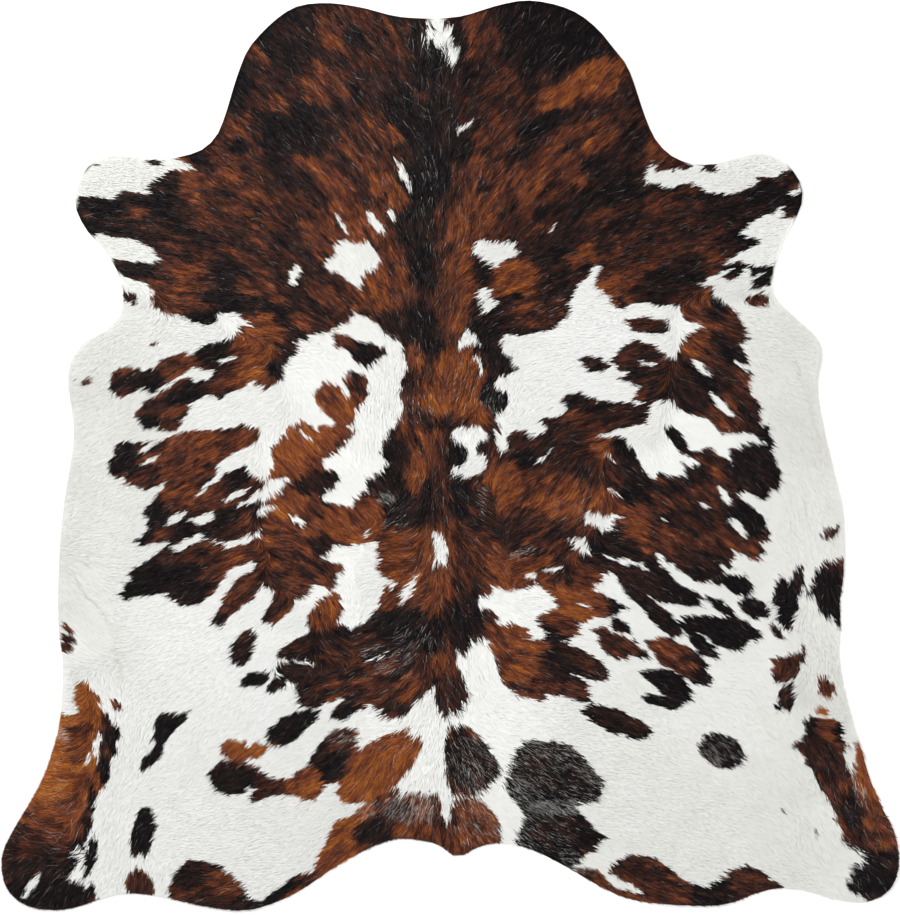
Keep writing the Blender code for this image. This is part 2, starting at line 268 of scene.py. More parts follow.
        (75.1, -48.8), (77.8, -47.3), (82, -46.5), (83.4, -44.3), (84.4, -46.8), (82.1, -50.6), (80.9, -52.8),
        (78.4, -53.8), (75.9, -52.4),
    ],
    "right thigh, comma": [
        (81, -53.1), (78.1, -54.6), (77.1, -57.2), (75.8, -59), (76.9, -60.9), (78.6, -60.1), (80.6, -60.2),
        (81.6, -58), (80.7, -55.4),
    ],
    "right belly, rim": [
        (98, -24), (92, -24.2), (88.4, -25.3), (86.3, -27.4), (84.9, -30), (83.4, -32.4), (84.1, -33.6),
        (85.7, -33.1), (86.7, -35.4), (88.2, -38.6), (89.6, -37.5), (90.9, -39.6), (91.6, -41.2), (98, -41.2),
    ],
    "rump, left": [
        (-12.9, -78.2), (-10.9, -80), (-8.4, -79.2), (-5, -79.4), (-2.8, -80.2), (-1.4, -85.4), (0.4, -87),
        (1, -110), (-50, -112), (-47.2, -105.8), (-43.9, -104.8), (-39.6, -101.4), (-35.8, -98.8),
        (-33, -98.6), (-31.8, -97), (-31.4, -94.6), (-29.2, -92), (-28.2, -88.6), (-27.4, -86.2),
        (-22.8, -84.8), (-21.2, -83), (-17.5, -81.2),
    ],
    "rump, right": [
        (15.1, -70.3), (17.2, -67.2), (25.1, -67.3), (29.8, -69.4), (34.5, -75), (36.9, -78), (35.2, -81.6),
        (31, -82.3), (29.8, -83.6), (32.4, -86), (36.3, -89.8), (34.4, -92.4), (31.2, -95), (29.6, -97.6),
        (22, -100), (14.6, -91.5), (16.3, -88.6), (17, -83.6), (14, -80.7), (13.1, -75),
    ],
    "rump edge, strand": [
        (29.6, -97.7), (31.4, -96.5), (34.4, -97.3), (35.9, -99.3), (39.4, -101.9), (43.6, -103.2),
        (47.8, -104.4), (47.4, -112), (34, -112), (27, -100),
    ],
    "tail root": [
        (-4.1, -50), (-3.9, -57), (-1.5, -61.7), (1.5, -61), (4.8, -57.6), (2, -50),
    ],
    "tail, upper oval": [
        (-1.3, -66), (0, -63.8), (3.6, -63.5), (8.3, -67.4), (11.6, -73), (11.4, -76), (7.2, -79.8),
        (0.4, -80.6), (-1.8, -72),
    ],
    "tail, lower": [(0.2, -80.8), (7.2, -81.1), (11.5, -85.5), (12, -88.4), (10.6, -100), (-0.4, -100)],
    "left shank": [
        (-88.2, -53.6), (-85, -53.9), (-84.4, -56), (-82.6, -57.4),
        (-83.6, -58.8), (-81, -60.4), (-79, -63.8),
        (-77.8, -66), (-78.8, -70), (-80, -72.5), (-80.3, -76), (-81.4, -79), (-83, -79.2), (-83.6, -82),
        (-84.5, -86), (-85.2, -89.4), (-86.4, -93), (-87.8, -96.2), (-89.7, -98.6), (-88.6, -99.9),
        (-86.4, -99.9), (-85.5, -102.4), (-84.6, -100.7), (-83.6, -101.6), (-83.2, -105), (-82, -112),
        (-112, -112), (-112, -88), (-97, -61.4), (-91.4, -61.3), (-88, -61), (-88.8, -57.6),
    ],
    "right shank": [
        (83.4, -63), (84.8, -61.9), (91.7, -62.2), (93.3, -64.8), (92.2, -66.8), (93.4, -68.6), (96.4, -68),
        (112, -86), (112, -110), (97.8, -110), (98.6, -105.2), (96.4, -103.6), (93.9, -102.2), (92.7, -100),
        (94.4, -98.8), (93.8, -97.4), (95.4, -96.6), (98.4, -95), (96.2, -93.4), (94.4, -91.8), (93.6, -92.8),
        (92.3, -90), (92.8, -88.2), (91.2, -85.8), (90.6, -87.2), (89.8, -81.6), (88, -80.2), (86, -77),
        (85.4, -74.4), (83.8, -73), (82.6, -70.4), (81, -69), (81.2, -67.2), (82.8, -67),
    ],
    "rump edge, left": [
        (-67.1, -112), (-66.2, -99.7), (-62.4, -95.6), (-59.5, -95), (-54.2, -96.8), (-50, -100.2),
        (-46.4, -104.6), (-46, -112),
    ],
    "rump edge, right": [
        (36.8, -97), (39.6, -95.2), (44, -94.2), (48, -94.7), (51.4, -97), (54, -99.4), (57, -101.2),
        (60.4, -101.6), (63.4, -100.6), (66.6, -97.2), (69.8, -96), (74.1, -99), (79, -102), (80, -112),
        (48, -112), (46.6, -104.4), (44, -102.4), (41.4, -100.2), (38, -98.6),
    ],
}
print(len(COLOURED), "coloured masses,", sum(len(points) for points in COLOURED.values()), "points")

# %% [markdown]
# White clearings lie inside the coloured masses, so they are laid over them.

# %% Chart of the white clearings
CLEARINGS = {
    "nape tuft, left": [(-4.6, 102.4), (-4.5, 99.6), (-5.3, 96.8), (-6.1, 99)],
    "nape tuft, middle": [
        (-4.2, 103.6), (-2, 103.6), (-1.4, 101.2), (0.1, 101),
        (-0.6, 98.6), (-1.8, 97.4), (-3.6, 96.2), (-4.4, 97.4),
    ],
    "nape tuft, right": [(-1.6, 98.4), (0.3, 99), (0.6, 97), (2, 96.4), (1.8, 93), (0.4, 92.2), (-1.4, 96)],
    "star, left": [
        (-30.3, 44.9), (-27.8, 46.6), (-26.6, 49), (-24.6, 51), (-22.4, 49.8), (-19.6, 50.8), (-18.1, 48.6),
        (-16.8, 46.7), (-17.8, 44.5), (-20.6, 42.4), (-21.6, 38.8), (-25.3, 42.4), (-28, 43.4),
    ],
    "star, left low": [(-39, 40.6), (-38, 43.4), (-36, 44.8), (-35.2, 43.5), (-36.8, 40.5)],
    "fore leg, left, upper": [
        (-66, 76), (-66.4, 70.4), (-61, 68.4), (-62, 67.2), (-64.6, 67.2), (-68, 67), (-70, 65),
        (-71.5, 63.4), (-72, 61.8), (-78, 62.5), (-80, 60.2), (-84, 61.2), (-88, 60.4), (-96, 60), (-92, 76),
    ],
    "left flank, gap": [(-62, 19.5), (-59, 20.4), (-55.6, 19.7), (-57.6, 17.6), (-60.5, 17.8)],
    "left of the loin, gap": [
        (-28, 18.6), (-26.2, 18.6), (-25, 16), (-23.6, 13.8), (-24.2, 13.2), (-26, 15.8),
    ],
    "fore leg, left, lower": [
        (-84, 52), (-82.9, 52), (-77.8, 51.3), (-74.8, 50.8), (-70.3, 48.8), (-69, 46.9), (-70.3, 45.2),
        (-74.6, 45.5), (-79.8, 46.3), (-86, 46),
    ],
    "fore leg, right, upper": [
        (46.3, 64.4), (46.6, 66.6), (47.6, 69), (48.8, 67), (53.1, 66.8), (55, 70), (60, 76), (84, 76),
        (82.6, 67.6), (79, 67.2), (78, 66), (72.5, 65.6), (71.5, 63.6), (69, 62.2), (66, 61.8), (63, 61.9),
        (60, 62.4), (58, 63.6), (55.5, 64.2), (53, 63.5), (50, 63), (48, 64.2),
    ],
    "fore leg, right, lower": [
        (69, 52), (71, 54.2), (73.6, 56.2), (78.6, 58.7), (77.8, 56), (84, 56), (84, 45.2), (70.8, 44.7),
        (69.6, 45.6), (65, 45.2), (67.3, 47.4), (73.6, 49.8), (72, 51.4),
    ],
    "beside the spine, upper": [
        (4.8, 48.6), (6.6, 50.2), (11.6, 50), (15.8, 51), (15, 49), (16.6, 47.6), (13.4, 46.2), (10.6, 43.9),
        (7.8, 46),
    ],
    "beside the spine, middle": [(6.3, 38.8), (8.8, 39.8), (10.4, 37.6), (10.8, 35.2), (8.4, 33.6)],
    "beside the spine, lower": [(1.6, 25.2), (2, 27.2), (4, 29.4), (5.4, 28), (7.6, 26), (4.6, 25.4)],
    "loin": [
        (-0.6, 5), (3.9, 6.9), (6.8, 6.3), (9, 4.3), (6.4, 2.6), (6, 0.6), (9, -1.8), (7.4, -4.2),
        (3.6, -5.6), (1.4, -5), (0.2, -3.2), (2.6, -2.6), (4, -1), (4.2, 1.8), (2.4, 2.8),
    ],
    "left of the tail, white": [
        (-29.4, -24.2), (-27.4, -21.9), (-22.4, -21.2), (-17.2, -20.8), (-17.6, -25.3), (-16.6, -27.8),
        (-13.6, -30.4), (-17.2, -31.4), (-17.6, -36.4), (-22.8, -40.8), (-26, -39.6), (-24.6, -36.8),
        (-26.2, -35), (-24.9, -32.5), (-26.2, -30.3), (-25.3, -26.4),
    ],
    "loin, tongue": [(10.5, 5.6), (13.6, 5.4), (14, 2), (12.4, 0.8), (10.8, 2.6)],
    "spine sliver": [
        (-4.6, -18.6), (-2.2, -18.4), (-0.6, -22), (-0.6, -25),
        (-1.4, -27.4), (-2.6, -25.4), (-4, -27.2), (-3.2, -22.6),
    ],
    "thigh sliver, left": [(-7.4, -27.4), (-8.2, -31.4), (-9.8, -34), (-12.6, -36), (-10.6, -31.8)],
    "belly sliver, left": [(-67, -16.6), (-65.6, -14.4), (-63.4, -13.3), (-62.6, -14.6), (-64.2, -15.8)],
    "belly sliver, inner": [(-61.5, -15.4), (-58.4, -14), (-55.2, -13.3), (-55.6, -14.9), (-58.2, -16.7)],
    "streak under the belly": [(-54.2, -10.4), (-50.6, -8.3), (-47.6, -8), (-49.6, -9.6), (-52, -10.6)],
    "right flank, clearing": [
        (48.7, 12.6), (52, 12.1), (56, 10), (60.6, 9), (63.6, 5), (66, 5.6), (69.6, 4.8), (73.8, 3.7),
        (74.4, 2.8), (70, 2.6), (66, 1.5), (66.4, -1.6), (63.6, -0.6),
        (62, 1.8), (58.2, 1.4), (53.6, 0.4), (58.8, -1.4),
        (56.2, -3), (53.4, -1.4), (56, -5.2), (52.4, -4.6), (49.4, -4.4), (47.5, -5.9), (44.8, -1.4),
        (43.4, 1), (41, 4), (34.2, 4.4), (38, 5.8), (47.2, 7.4), (46.6, 9.6),
    ],
    "right flank, notch": [(66.4, 22.4), (70.8, 21.4), (74, 19.6), (69.8, 20.6)],
    "right flank, sliver": [(61.6, 14.8), (64.4, 12.8), (67.3, 9), (65, 9.6), (62.4, 11.6)],
    "right flank, streaks": [(57, 22.8), (59.6, 21.8), (61.8, 18.6), (59.6, 19.2), (57.6, 20.8)],
    "right flank, upper white": [(54, 31.4), (59.8, 30.4), (54.8, 28.6), (53.4, 29.6)],
    "right belly, sliver": [(62.8, -6.8), (64.6, -8), (66.4, -10.8), (64.6, -11.2), (63.6, -8.6)],
    "right belly, low sliver": [(65.3, -15.3), (68.2, -15.2), (70.4, -19.6), (68, -18.4)],
    "right belly, nick": [(63, -25.6), (66.8, -27), (64.4, -27.8)],
    "right loin, patch": [
        (31.1, -15.4), (32.6, -13.8), (35.4, -14.2), (39, -14.3), (41.2, -14.7), (38, -15.6), (38.6, -17.5),
        (36.6, -18.4), (33.8, -16.8),
    ],
    "right loin, tuft": [
        (27, -19.7), (30, -20.1), (31, -19.5), (32.6, -21), (33.7, -22.8), (31, -22.9), (29.4, -21.2),
    ],
    "right loin, low tuft": [(22.5, -26.8), (24.4, -25.6), (26.3, -27.6)],
    "right loin, brush": [(17.4, -28.6), (19.4, -27.4), (20.4, -28.4), (20.4, -30.8), (19, -29)],
    "right loin, fleck": [(20.4, -1.2), (22, -0.2), (23.6, 1.6), (22.4, -1), (21.2, -2.2)],
    "tail, wedge": [(-2.6, -77), (-0.6, -79), (-0.3, -85), (-1.4, -84)],
    "left shank, slit": [
        (-84.1, -66), (-82.6, -65.4), (-81.7, -67), (-82.8, -70), (-83, -72.6), (-83.8, -69.6),
    ],
    "right thigh, notch": [(32.4, -38.6), (37.2, -39.6), (34.6, -40.4), (32, -40.6)],
}
print(len(CLEARINGS), "clearings")

# %% [markdown]
# The last layer is the spots: small marks that one ellipse describes, each turned the way the hair lies.
# `kind` is 1 for coloured hair and 0 for white.

# %% Chart of the spots
Spot = namedtuple("Spot", "across along half_length half_width heading kind")
SPOTS = [Spot(*row) for row in (
    (-11.2, 66.6, 3.4, 0.9, -62, 0),
    (-9.9, 63.4, 1.8, 0.5, -70, 0),
    (-13.6, 56.6, 1.6, 0.8, -60, 0),
    (-17.6, 54.8, 2.9, 1.2, -45, 0),
    (-25.6, 54.4, 2.8, 0.4, -58, 0),
    (3.6, 77.8, 2.2, 0.5, 42, 0),
    (6.8, 21.2, 2.2, 0.35, -75, 0),
    (6, 22.8, 1.6, 0.25, -60, 0),
    (24.2, 54, 1.3, 0.3, -105, 0),
    (-35.6, -15.4, 1.5, 0.6, -20, 0),
    (-19.8, -18.4, 0.8, 0.4, -90, 0),
    (-34.2, 4.8, 1.6, 0.35, -40, 0),
    (-52.4, 22.6, 2.2, 0.6, -160, 0),
    (-43.4, -12.6, 2.4, 0.45, -165, 0),
    (-71.2, 1.9, 2.2, 0.5, -148, 0),
    (-71, -1.4, 2.2, 0.45, -140, 0),
    (-34.4, -49.1, 3.2, 0.26, -12, 0),
    (-17.6, -47.6, 1.8, 0.28, -165, 0),
    (38.4, -8.8, 2.4, 0.26, -26, 0),
    (38, -24.3, 2.2, 0.3, -16, 0),
    (41.2, -25, 2.4, 0.45, -20, 0),
    (44.8, -26.3, 2.2, 0.35, -28, 0),
    (60.2, -12, 1.4, 0.3, -30, 0),
    (50.6, -15, 1.4, 0.25, -30, 0),
    (46.4, 21.6, 2.6, 0.3, -16, 0),
    (37.4, -0.4, 1.4, 0.25, -50, 0),
    (31.4, -35.6, 1.6, 0.25, -25, 0),
    (60.4, -43.4, 2.2, 0.26, -30, 0),
    (-87.2, -95.4, 4.4, 0.4, -72, 0),
    (-88.2, -98.4, 1.5, 0.8, -70, 0),
    (-85.7, -100.6, 1.6, 0.3, -100, 0),
    (-98.8, -101.8, 4.2, 0.6, -128, 0),
    (-85.1, -72, 1.5, 0.35, -110, 0),
    (94.2, -71, 3.4, 0.9, -100, 0),
    (81.6, 62.2, 1.8, 0.35, 25, 0),
    (71.8, 41.6, 3.2, 0.3, -148, 0),
    (-69.8, 69, 1.9, 0.8, -10, 1),
    (-84.2, 69.2, 2.2, 0.7, 42, 1),
    (-75.8, 37, 2.6, 1.2, -30, 1),
    (-85.1, 17.3, 1.2, 0.9, -160, 1),
    (-88.1, 17.7, 0.5, 0.4, -45, 1),
    (-70, 26.2, 1.1, 0.5, -130, 1),
    (-57.4, 31.8, 2.6, 1.3, -170, 1),
    (-48.8, -45.6, 4.7, 2.6, -116, 1),
    (-46.3, -52.9, 3.7, 1.6, 22, 1),
    (-41, -53.8, 2.9, 1.5, 32, 1),
    (54.4, 68.5, 2.6, 1.2, -5, 1),
    (61.3, 67.8, 2.2, 1.1, -5, 1),
    (46.6, 30.6, 5.2, 1.9, -8, 1),
    (34, 21.6, 3.7, 1.8, -18, 1),
    (53.4, 3.6, 4.4, 1.5, -48, 1),
    (63.6, -35.6, 4.0, 1.2, -32, 1),
    (72, -36.2, 3.7, 2.2, -18, 1),
    (39.4, -62.8, 8.9, 2.8, -21, 1),
    (64.1, -69.8, 5.8, 3.8, -22, 1),
    (89.7, -18.2, 2.6, 1.2, 36, 1),
    (79, -35, 6.2, 2.6, -82, 1),
    (82, -29.6, 4.3, 1.6, -102, 1),
    (76.8, -41.4, 2.3, 1.0, -62, 1),
    (88.6, -54.9, 2.7, 2.1, -60, 1),
    (87.9, -60.5, 1.7, 1.1, -15, 1),
    (78.6, -83.4, 0.9, 0.3, -60, 1),
    (86.4, -89.5, 0.9, 0.35, -60, 1),
    (94, -92, 1.1, 0.7, -50, 1),
    (-90.2, -41, 1.9, 0.75, -50, 1),
    (-90, -43.4, 2.0, 1.05, -28, 1),
    (-90.6, -45.4, 2.3, 1.3, -18, 1),
    (-78.9, -58.8, 2.0, 1.15, -55, 1),
    (-84.8, -94.8, 5.0, 1.4, -101, 1),
    (-50.6, -69.7, 3.4, 2.9, -20, 1),
    (-46.4, -70, 3.8, 1.5, 22, 1),
    (-51.8, -76.2, 5.0, 4.1, -12, 1),
    (-47.2, -74.4, 3.4, 1.5, -30, 1),
    (-27, -70.9, 7.6, 4.8, 54, 1),
    (-16.7, -73.6, 11.8, 5.8, 41, 1),
    (-73.2, -101.6, 3.9, 3.4, -60, 1),
    (-72.5, -88.9, 6.0, 2.9, -103, 1),
)]
print(len(SPOTS), "spots")

# %% [markdown]
# ## Black, chestnut or tan
# Inside a patch the colour wanders: bluish black along the spine, chestnut brindle over the shoulders, golden tan
# on the hind shanks. `tone` says how dark a place is, from 0 for tan over 0.3 for bright chestnut and 0.6 for dark
# brown to 1 for black, and each place fades into the next.

# %% Chart of the tones
Tone = namedtuple("Tone", "across along reach tone")
TONES = [Tone(*row) for row in (
    # neck, left
    (-24, 104, 6, 0.60), (-37, 100, 7, 0.80), (-15, 98, 6, 0.70), (-47, 88, 6, 0.74),
    (-36, 90, 6, 0.70), (-26, 90, 6, 0.68), (-18, 90, 6, 0.76), (-12, 82, 4, 0.94),
    (-5, 92, 5, 0.93), (-37, 77, 8, 0.88), (-22, 76, 6, 0.66), (-50, 76, 5, 0.58),
    (-58, 68, 5, 0.66), (-48, 66, 6, 0.64), (-30, 67, 6, 0.54), (-18, 66, 5, 0.62),
    (-7, 75, 4, 0.92),
    # shoulder, left
    (-66, 61, 5, 0.88), (-58, 57, 5, 0.60), (-49, 59, 6, 0.58), (-36, 52, 6, 0.76),
    (-42, 66, 5, 0.80), (-26, 54, 5, 0.44), (-17, 51, 4, 0.44), (-12, 54, 3, 0.90),
    (-76, 57, 6, 0.80), (-84, 56, 4, 0.88), (-72, 52, 5, 0.72), (-64, 41, 8, 0.55),
    (-63, 51, 4, 0.76), (-72, 44, 4, 0.85), (-47, 49, 5, 0.66), (-50, 43, 5, 0.86),
    (-43, 39, 5, 0.66), (-54, 36, 5, 0.92), (-40, 33, 5, 0.84), (-31, 41, 5, 0.76),
    (-28, 35, 5, 0.68), (-15, 42, 6, 0.42), (-14, 31, 3, 0.86), (-59, 31.5, 3, 0.97),
    # neck and shoulder, right
    (6, 100, 4, 0.56), (24, 98, 9, 0.95), (38, 101, 5, 0.80), (12, 92, 5, 0.72),
    (36, 92, 6, 0.42), (24, 84, 6, 0.46), (43, 84, 5, 0.76), (12, 77, 5, 0.62),
    (22, 77, 5, 0.84), (35, 77, 5, 0.62), (40, 66, 7, 0.84), (50, 71, 4, 0.52),
    (26, 70, 6, 0.58), (7, 70, 4, 0.74), (8, 60, 4, 0.52), (16, 60, 5, 0.60),
    (13, 85, 4, 0.70), (50, 62, 5, 0.78), (25, 50, 6, 0.84), (31, 47, 3, 0.46),
    (38, 54, 6, 0.76), (46, 46, 5, 0.62), (52, 54, 6, 0.66), (60, 57, 5, 0.70),
    (68, 60, 5, 0.84), (66, 51, 4, 0.80), (70, 50.5, 3, 0.95), (62, 47, 4, 0.52),
    (39, 40, 4, 0.40), (48, 39, 4, 0.88), (56, 43, 4, 0.90), (16, 42, 5, 0.40),
    (25, 39, 4, 0.92), (22, 34, 4, 0.66), (8, 44, 3, 0.92), (14, 31, 4, 0.86),
    (78, 60, 4, 0.80), (80, 65, 3, 0.55), (50, 104, 6, 0.70), (57, 36, 3, 0.50),
    # spine
    (-7, 62, 5, 0.98), (-7, 46, 5, 1.00), (-7, 32, 4, 0.98), (-6, 25, 3, 0.96),
    (1, 68, 3, 0.50), (2, 56, 4, 0.42), (2, 42, 4, 0.34), (2, 32, 3, 0.36),
    (2, 20, 5, 0.26), (5, 12, 3, 0.30), (7, 31, 3, 0.95), (9, 23, 4, 0.92),
    (11, 14, 3, 0.96), (-9, 24, 2, 0.24), (-9, 17, 3, 0.72), (-3, 13, 3, 0.22),
    # the dark place at (1, 9) is painted shadow under the chestnut whorl above it
    (-6, 6, 4, 0.46), (1, 9, 2, 0.95), (2, 0, 3, 1.00), (-13, 1, 3, 0.98),
    (-8.5, -4, 2.5, 0.22), (-3, -2, 3, 0.62), (-5, -12, 3, 0.95), (-12, -8, 4, 0.96),
    (-13, -15, 3, 0.96), (-18, -9, 4, 0.84), (1, -14, 4, 0.46), (2, -26, 4, 0.42),
    (7, -14, 3, 0.92), (-11, -24, 6, 0.26), (-4, -33, 4, 0.34), (3, -38, 4, 0.96),
    (8, -24, 3, 0.42), (-4, -48, 3, 0.24), (0, -56, 4, 0.72),
    # left flank
    (-45, 24, 6, 0.28), (-38, 24, 3, 0.94), (-41, 20.5, 2.5, 0.95), (-55, 24, 4, 0.97),
    (-56, 18, 3, 0.66), (-64, 21, 5, 0.36), (-70, 18, 2.5, 0.97), (-77, 17, 4, 0.52),
    (-70, 12, 3, 0.42), (-64, 13, 3, 0.92), (-71, 7.5, 2.5, 1.00), (-65, 8, 3, 0.40),
    (-60, 16, 3, 0.95), (-26, 14, 4, 0.34), (-22, 17, 3, 0.66), (-24, 10, 3, 0.34),
    (-20, 24, 3, 0.92), (-24, 27, 3, 0.44), (-77, 1, 4, 0.78), (-70, -2, 5, 0.42),
    (-61, 0, 7, 0.36), (-52, 4, 4, 0.60), (-70, 3, 3, 0.84), (-70, -13, 3, 0.95),
    (-63, -10, 4, 0.34), (-73, -20, 2, 0.95), (-69, -19.5, 2.5, 0.40), (-62, -18, 4, 0.98),
    (-50, -5, 4, 0.84), (-56, -11, 3, 0.50), (-48, -14, 4, 0.50), (-55, -17, 4, 0.92),
    (-68, -28, 8, 0.90), (-60, -24, 4, 0.55), (-74, -32, 4, 0.98), (-57, -29, 2.5, 0.36),
    (-62, -33, 4, 0.86), (-50, -23, 4, 0.40), (-37, 0, 6, 0.26), (-31, -6, 4, 0.92),
    (-38, -11, 5, 0.24), (-31, -15, 3, 0.80), (-23, -15, 5, 0.26), (-38, -20, 5, 0.56),
    (-31, -22, 2.5, 0.95), (-42, -26, 4, 0.80), (-32, -27, 3, 0.56), (-27, -28, 2.5, 0.44),
    (-37, -31, 4, 0.50), (-41, -37, 3, 0.72), (-51, -34, 5, 0.56), (-48, -46, 4, 0.80),
    # rump, left
    (-29, -36, 4, 0.34), (-33, -46, 6, 0.80), (-22, -44, 4, 0.62), (-14, -34, 3, 0.36),
    (-14, -40, 5, 0.96), (-8, -46, 5, 0.82), (-20, -52, 5, 0.44), (-36, -53, 4, 0.90),
    (-26, -57, 5, 0.62), (-10, -56, 4, 0.86), (-46, -53, 3, 1.00), (-38, -65, 5, 0.98),
    (-49, -69, 4, 0.14), (-52, -76, 4, 0.98), (-43, -79, 3, 0.80), (-35, -78, 4, 0.34),
    (-27, -70, 5, 0.84), (-17, -73, 7, 0.24), (-27, -92, 6, 0.20), (-19, -88, 4, 0.92),
    (-12, -84, 4, 0.66), (-5, -86, 4, 0.56), (-40, -103, 5, 0.95), (-57, -100, 6, 0.70),
    (-73, -101, 3, 0.50), (-73, -89, 4, 0.98), (-67, -67, 6, 0.96), (5, -72, 5, 0.80),
    (5, -86, 4, 0.46), (-31, -62, 3, 0.95),
    # shanks
    (-89, -66, 6, 0.08), (-92, -78, 6, 0.14), (-96, -88, 6, 0.44), (-98, -97, 6, 0.80),
    (-90, -100, 5, 0.86), (-81, -68, 2.5, 0.90), (-87, -86, 3, 0.60), (-85, -95, 2, 0.98),
    (-104, -96, 4, 0.70), (90, -68, 4, 0.70), (86, -68, 3, 0.90), (90, -76, 3, 0.86),
    (98, -78, 5, 0.30), (95, -86, 4, 0.50), (102, -90, 4, 0.42), (99, -99, 5, 0.97),
    (88, -55, 2, 0.30), (-90, -43, 2, 0.48), (-79, -59, 2, 0.45),
    # right flank
    (46, 31, 4, 0.72), (34, 21.5, 3, 0.80), (45, 25, 3, 0.72), (44, 19, 4, 0.55),
    (52, 16, 5, 0.72), (60, 34, 4, 0.48), (66, 31, 3, 0.58), (58, 27, 3, 0.44),
    (66, 25, 3, 0.84), (60, 16, 4, 0.98), (68, 18, 3, 0.48), (69, 11, 4, 0.46),
    (64, 8, 2.5, 0.44), (75, 5, 2, 1.00), (72, 0, 4, 0.94), (70, -6, 4, 0.84),
    (62, -3, 2.5, 0.50), (30, 12, 3, 0.95), (30, 9, 3, 0.60), (42, 10, 4, 0.74),
    (28, 4, 5, 0.72), (17, 3, 3, 0.66), (42, 2.5, 2.5, 0.95), (36, 2, 2, 0.34),
    (17, -1, 4, 0.94), (30, -3, 5, 0.82), (13, -5, 3.5, 0.24), (13, -9, 3, 0.28),
    (21, -8, 4, 0.48), (29, -11, 5, 0.32), (36, -12, 5, 0.30), (44, -8, 4, 0.96),
    (52, -8, 4, 0.82), (43, -16, 4, 0.34), (54, -15, 5, 0.86), (17, -17, 5, 0.95),
    (23, -21, 4, 0.82), (13, -24, 3, 0.36), (16, -29, 4, 0.40), (38, -21, 5, 0.98),
    (52, -20, 3, 0.50), (58, -21, 3, 0.58), (63, -10, 2.5, 0.42), (70, -14, 4, 0.98),
    (71, -22, 3, 0.44), (60, -26, 4, 0.90), (66, -20, 2.5, 0.50), (28, -26, 4, 0.82),
    (32, -29, 4, 0.46), (46, -28, 4, 0.92), (68, -31, 4, 0.98), (53, 4, 3, 0.95),
    # rump, right
    (31, -34, 5, 0.24), (39, -35.5, 2.5, 0.98), (27, -40, 4, 0.36), (24, -43, 3, 0.98),
    (14, -43, 4, 0.30), (16, -50, 5, 0.28), (25, -48, 4, 0.92), (32, -49, 4, 0.90),
    (22, -55, 4, 0.72), (31, -56, 2.5, 0.70), (39, -43, 5, 0.72), (50, -38, 4, 0.86),
    (53, -47, 5, 0.56), (51, -56, 4, 0.98), (62, -42, 6, 0.98), (39, -62, 5, 0.94),
    (63, -70, 4, 0.97), (72, -36, 3, 1.00), (79, -35, 4, 1.00), (90, -29, 4, 0.56),
    (90, -36, 4, 0.95), (79, -50, 4, 0.52), (79, -57, 3, 0.90), (24, -74, 7, 0.94),
    (25, -89, 7, 0.96), (34, -99, 3, 0.60), (50, -99, 6, 0.60), (62, -103, 4, 0.95),
    (72, -100, 4, 0.62),
)]
print(len(TONES), "tones")

# %% [markdown]
# Brindle isn't one even fade: inside each patch there are blotches and bars with an edge of their own. They are laid
# over the fade as ellipses, the later ones on top.

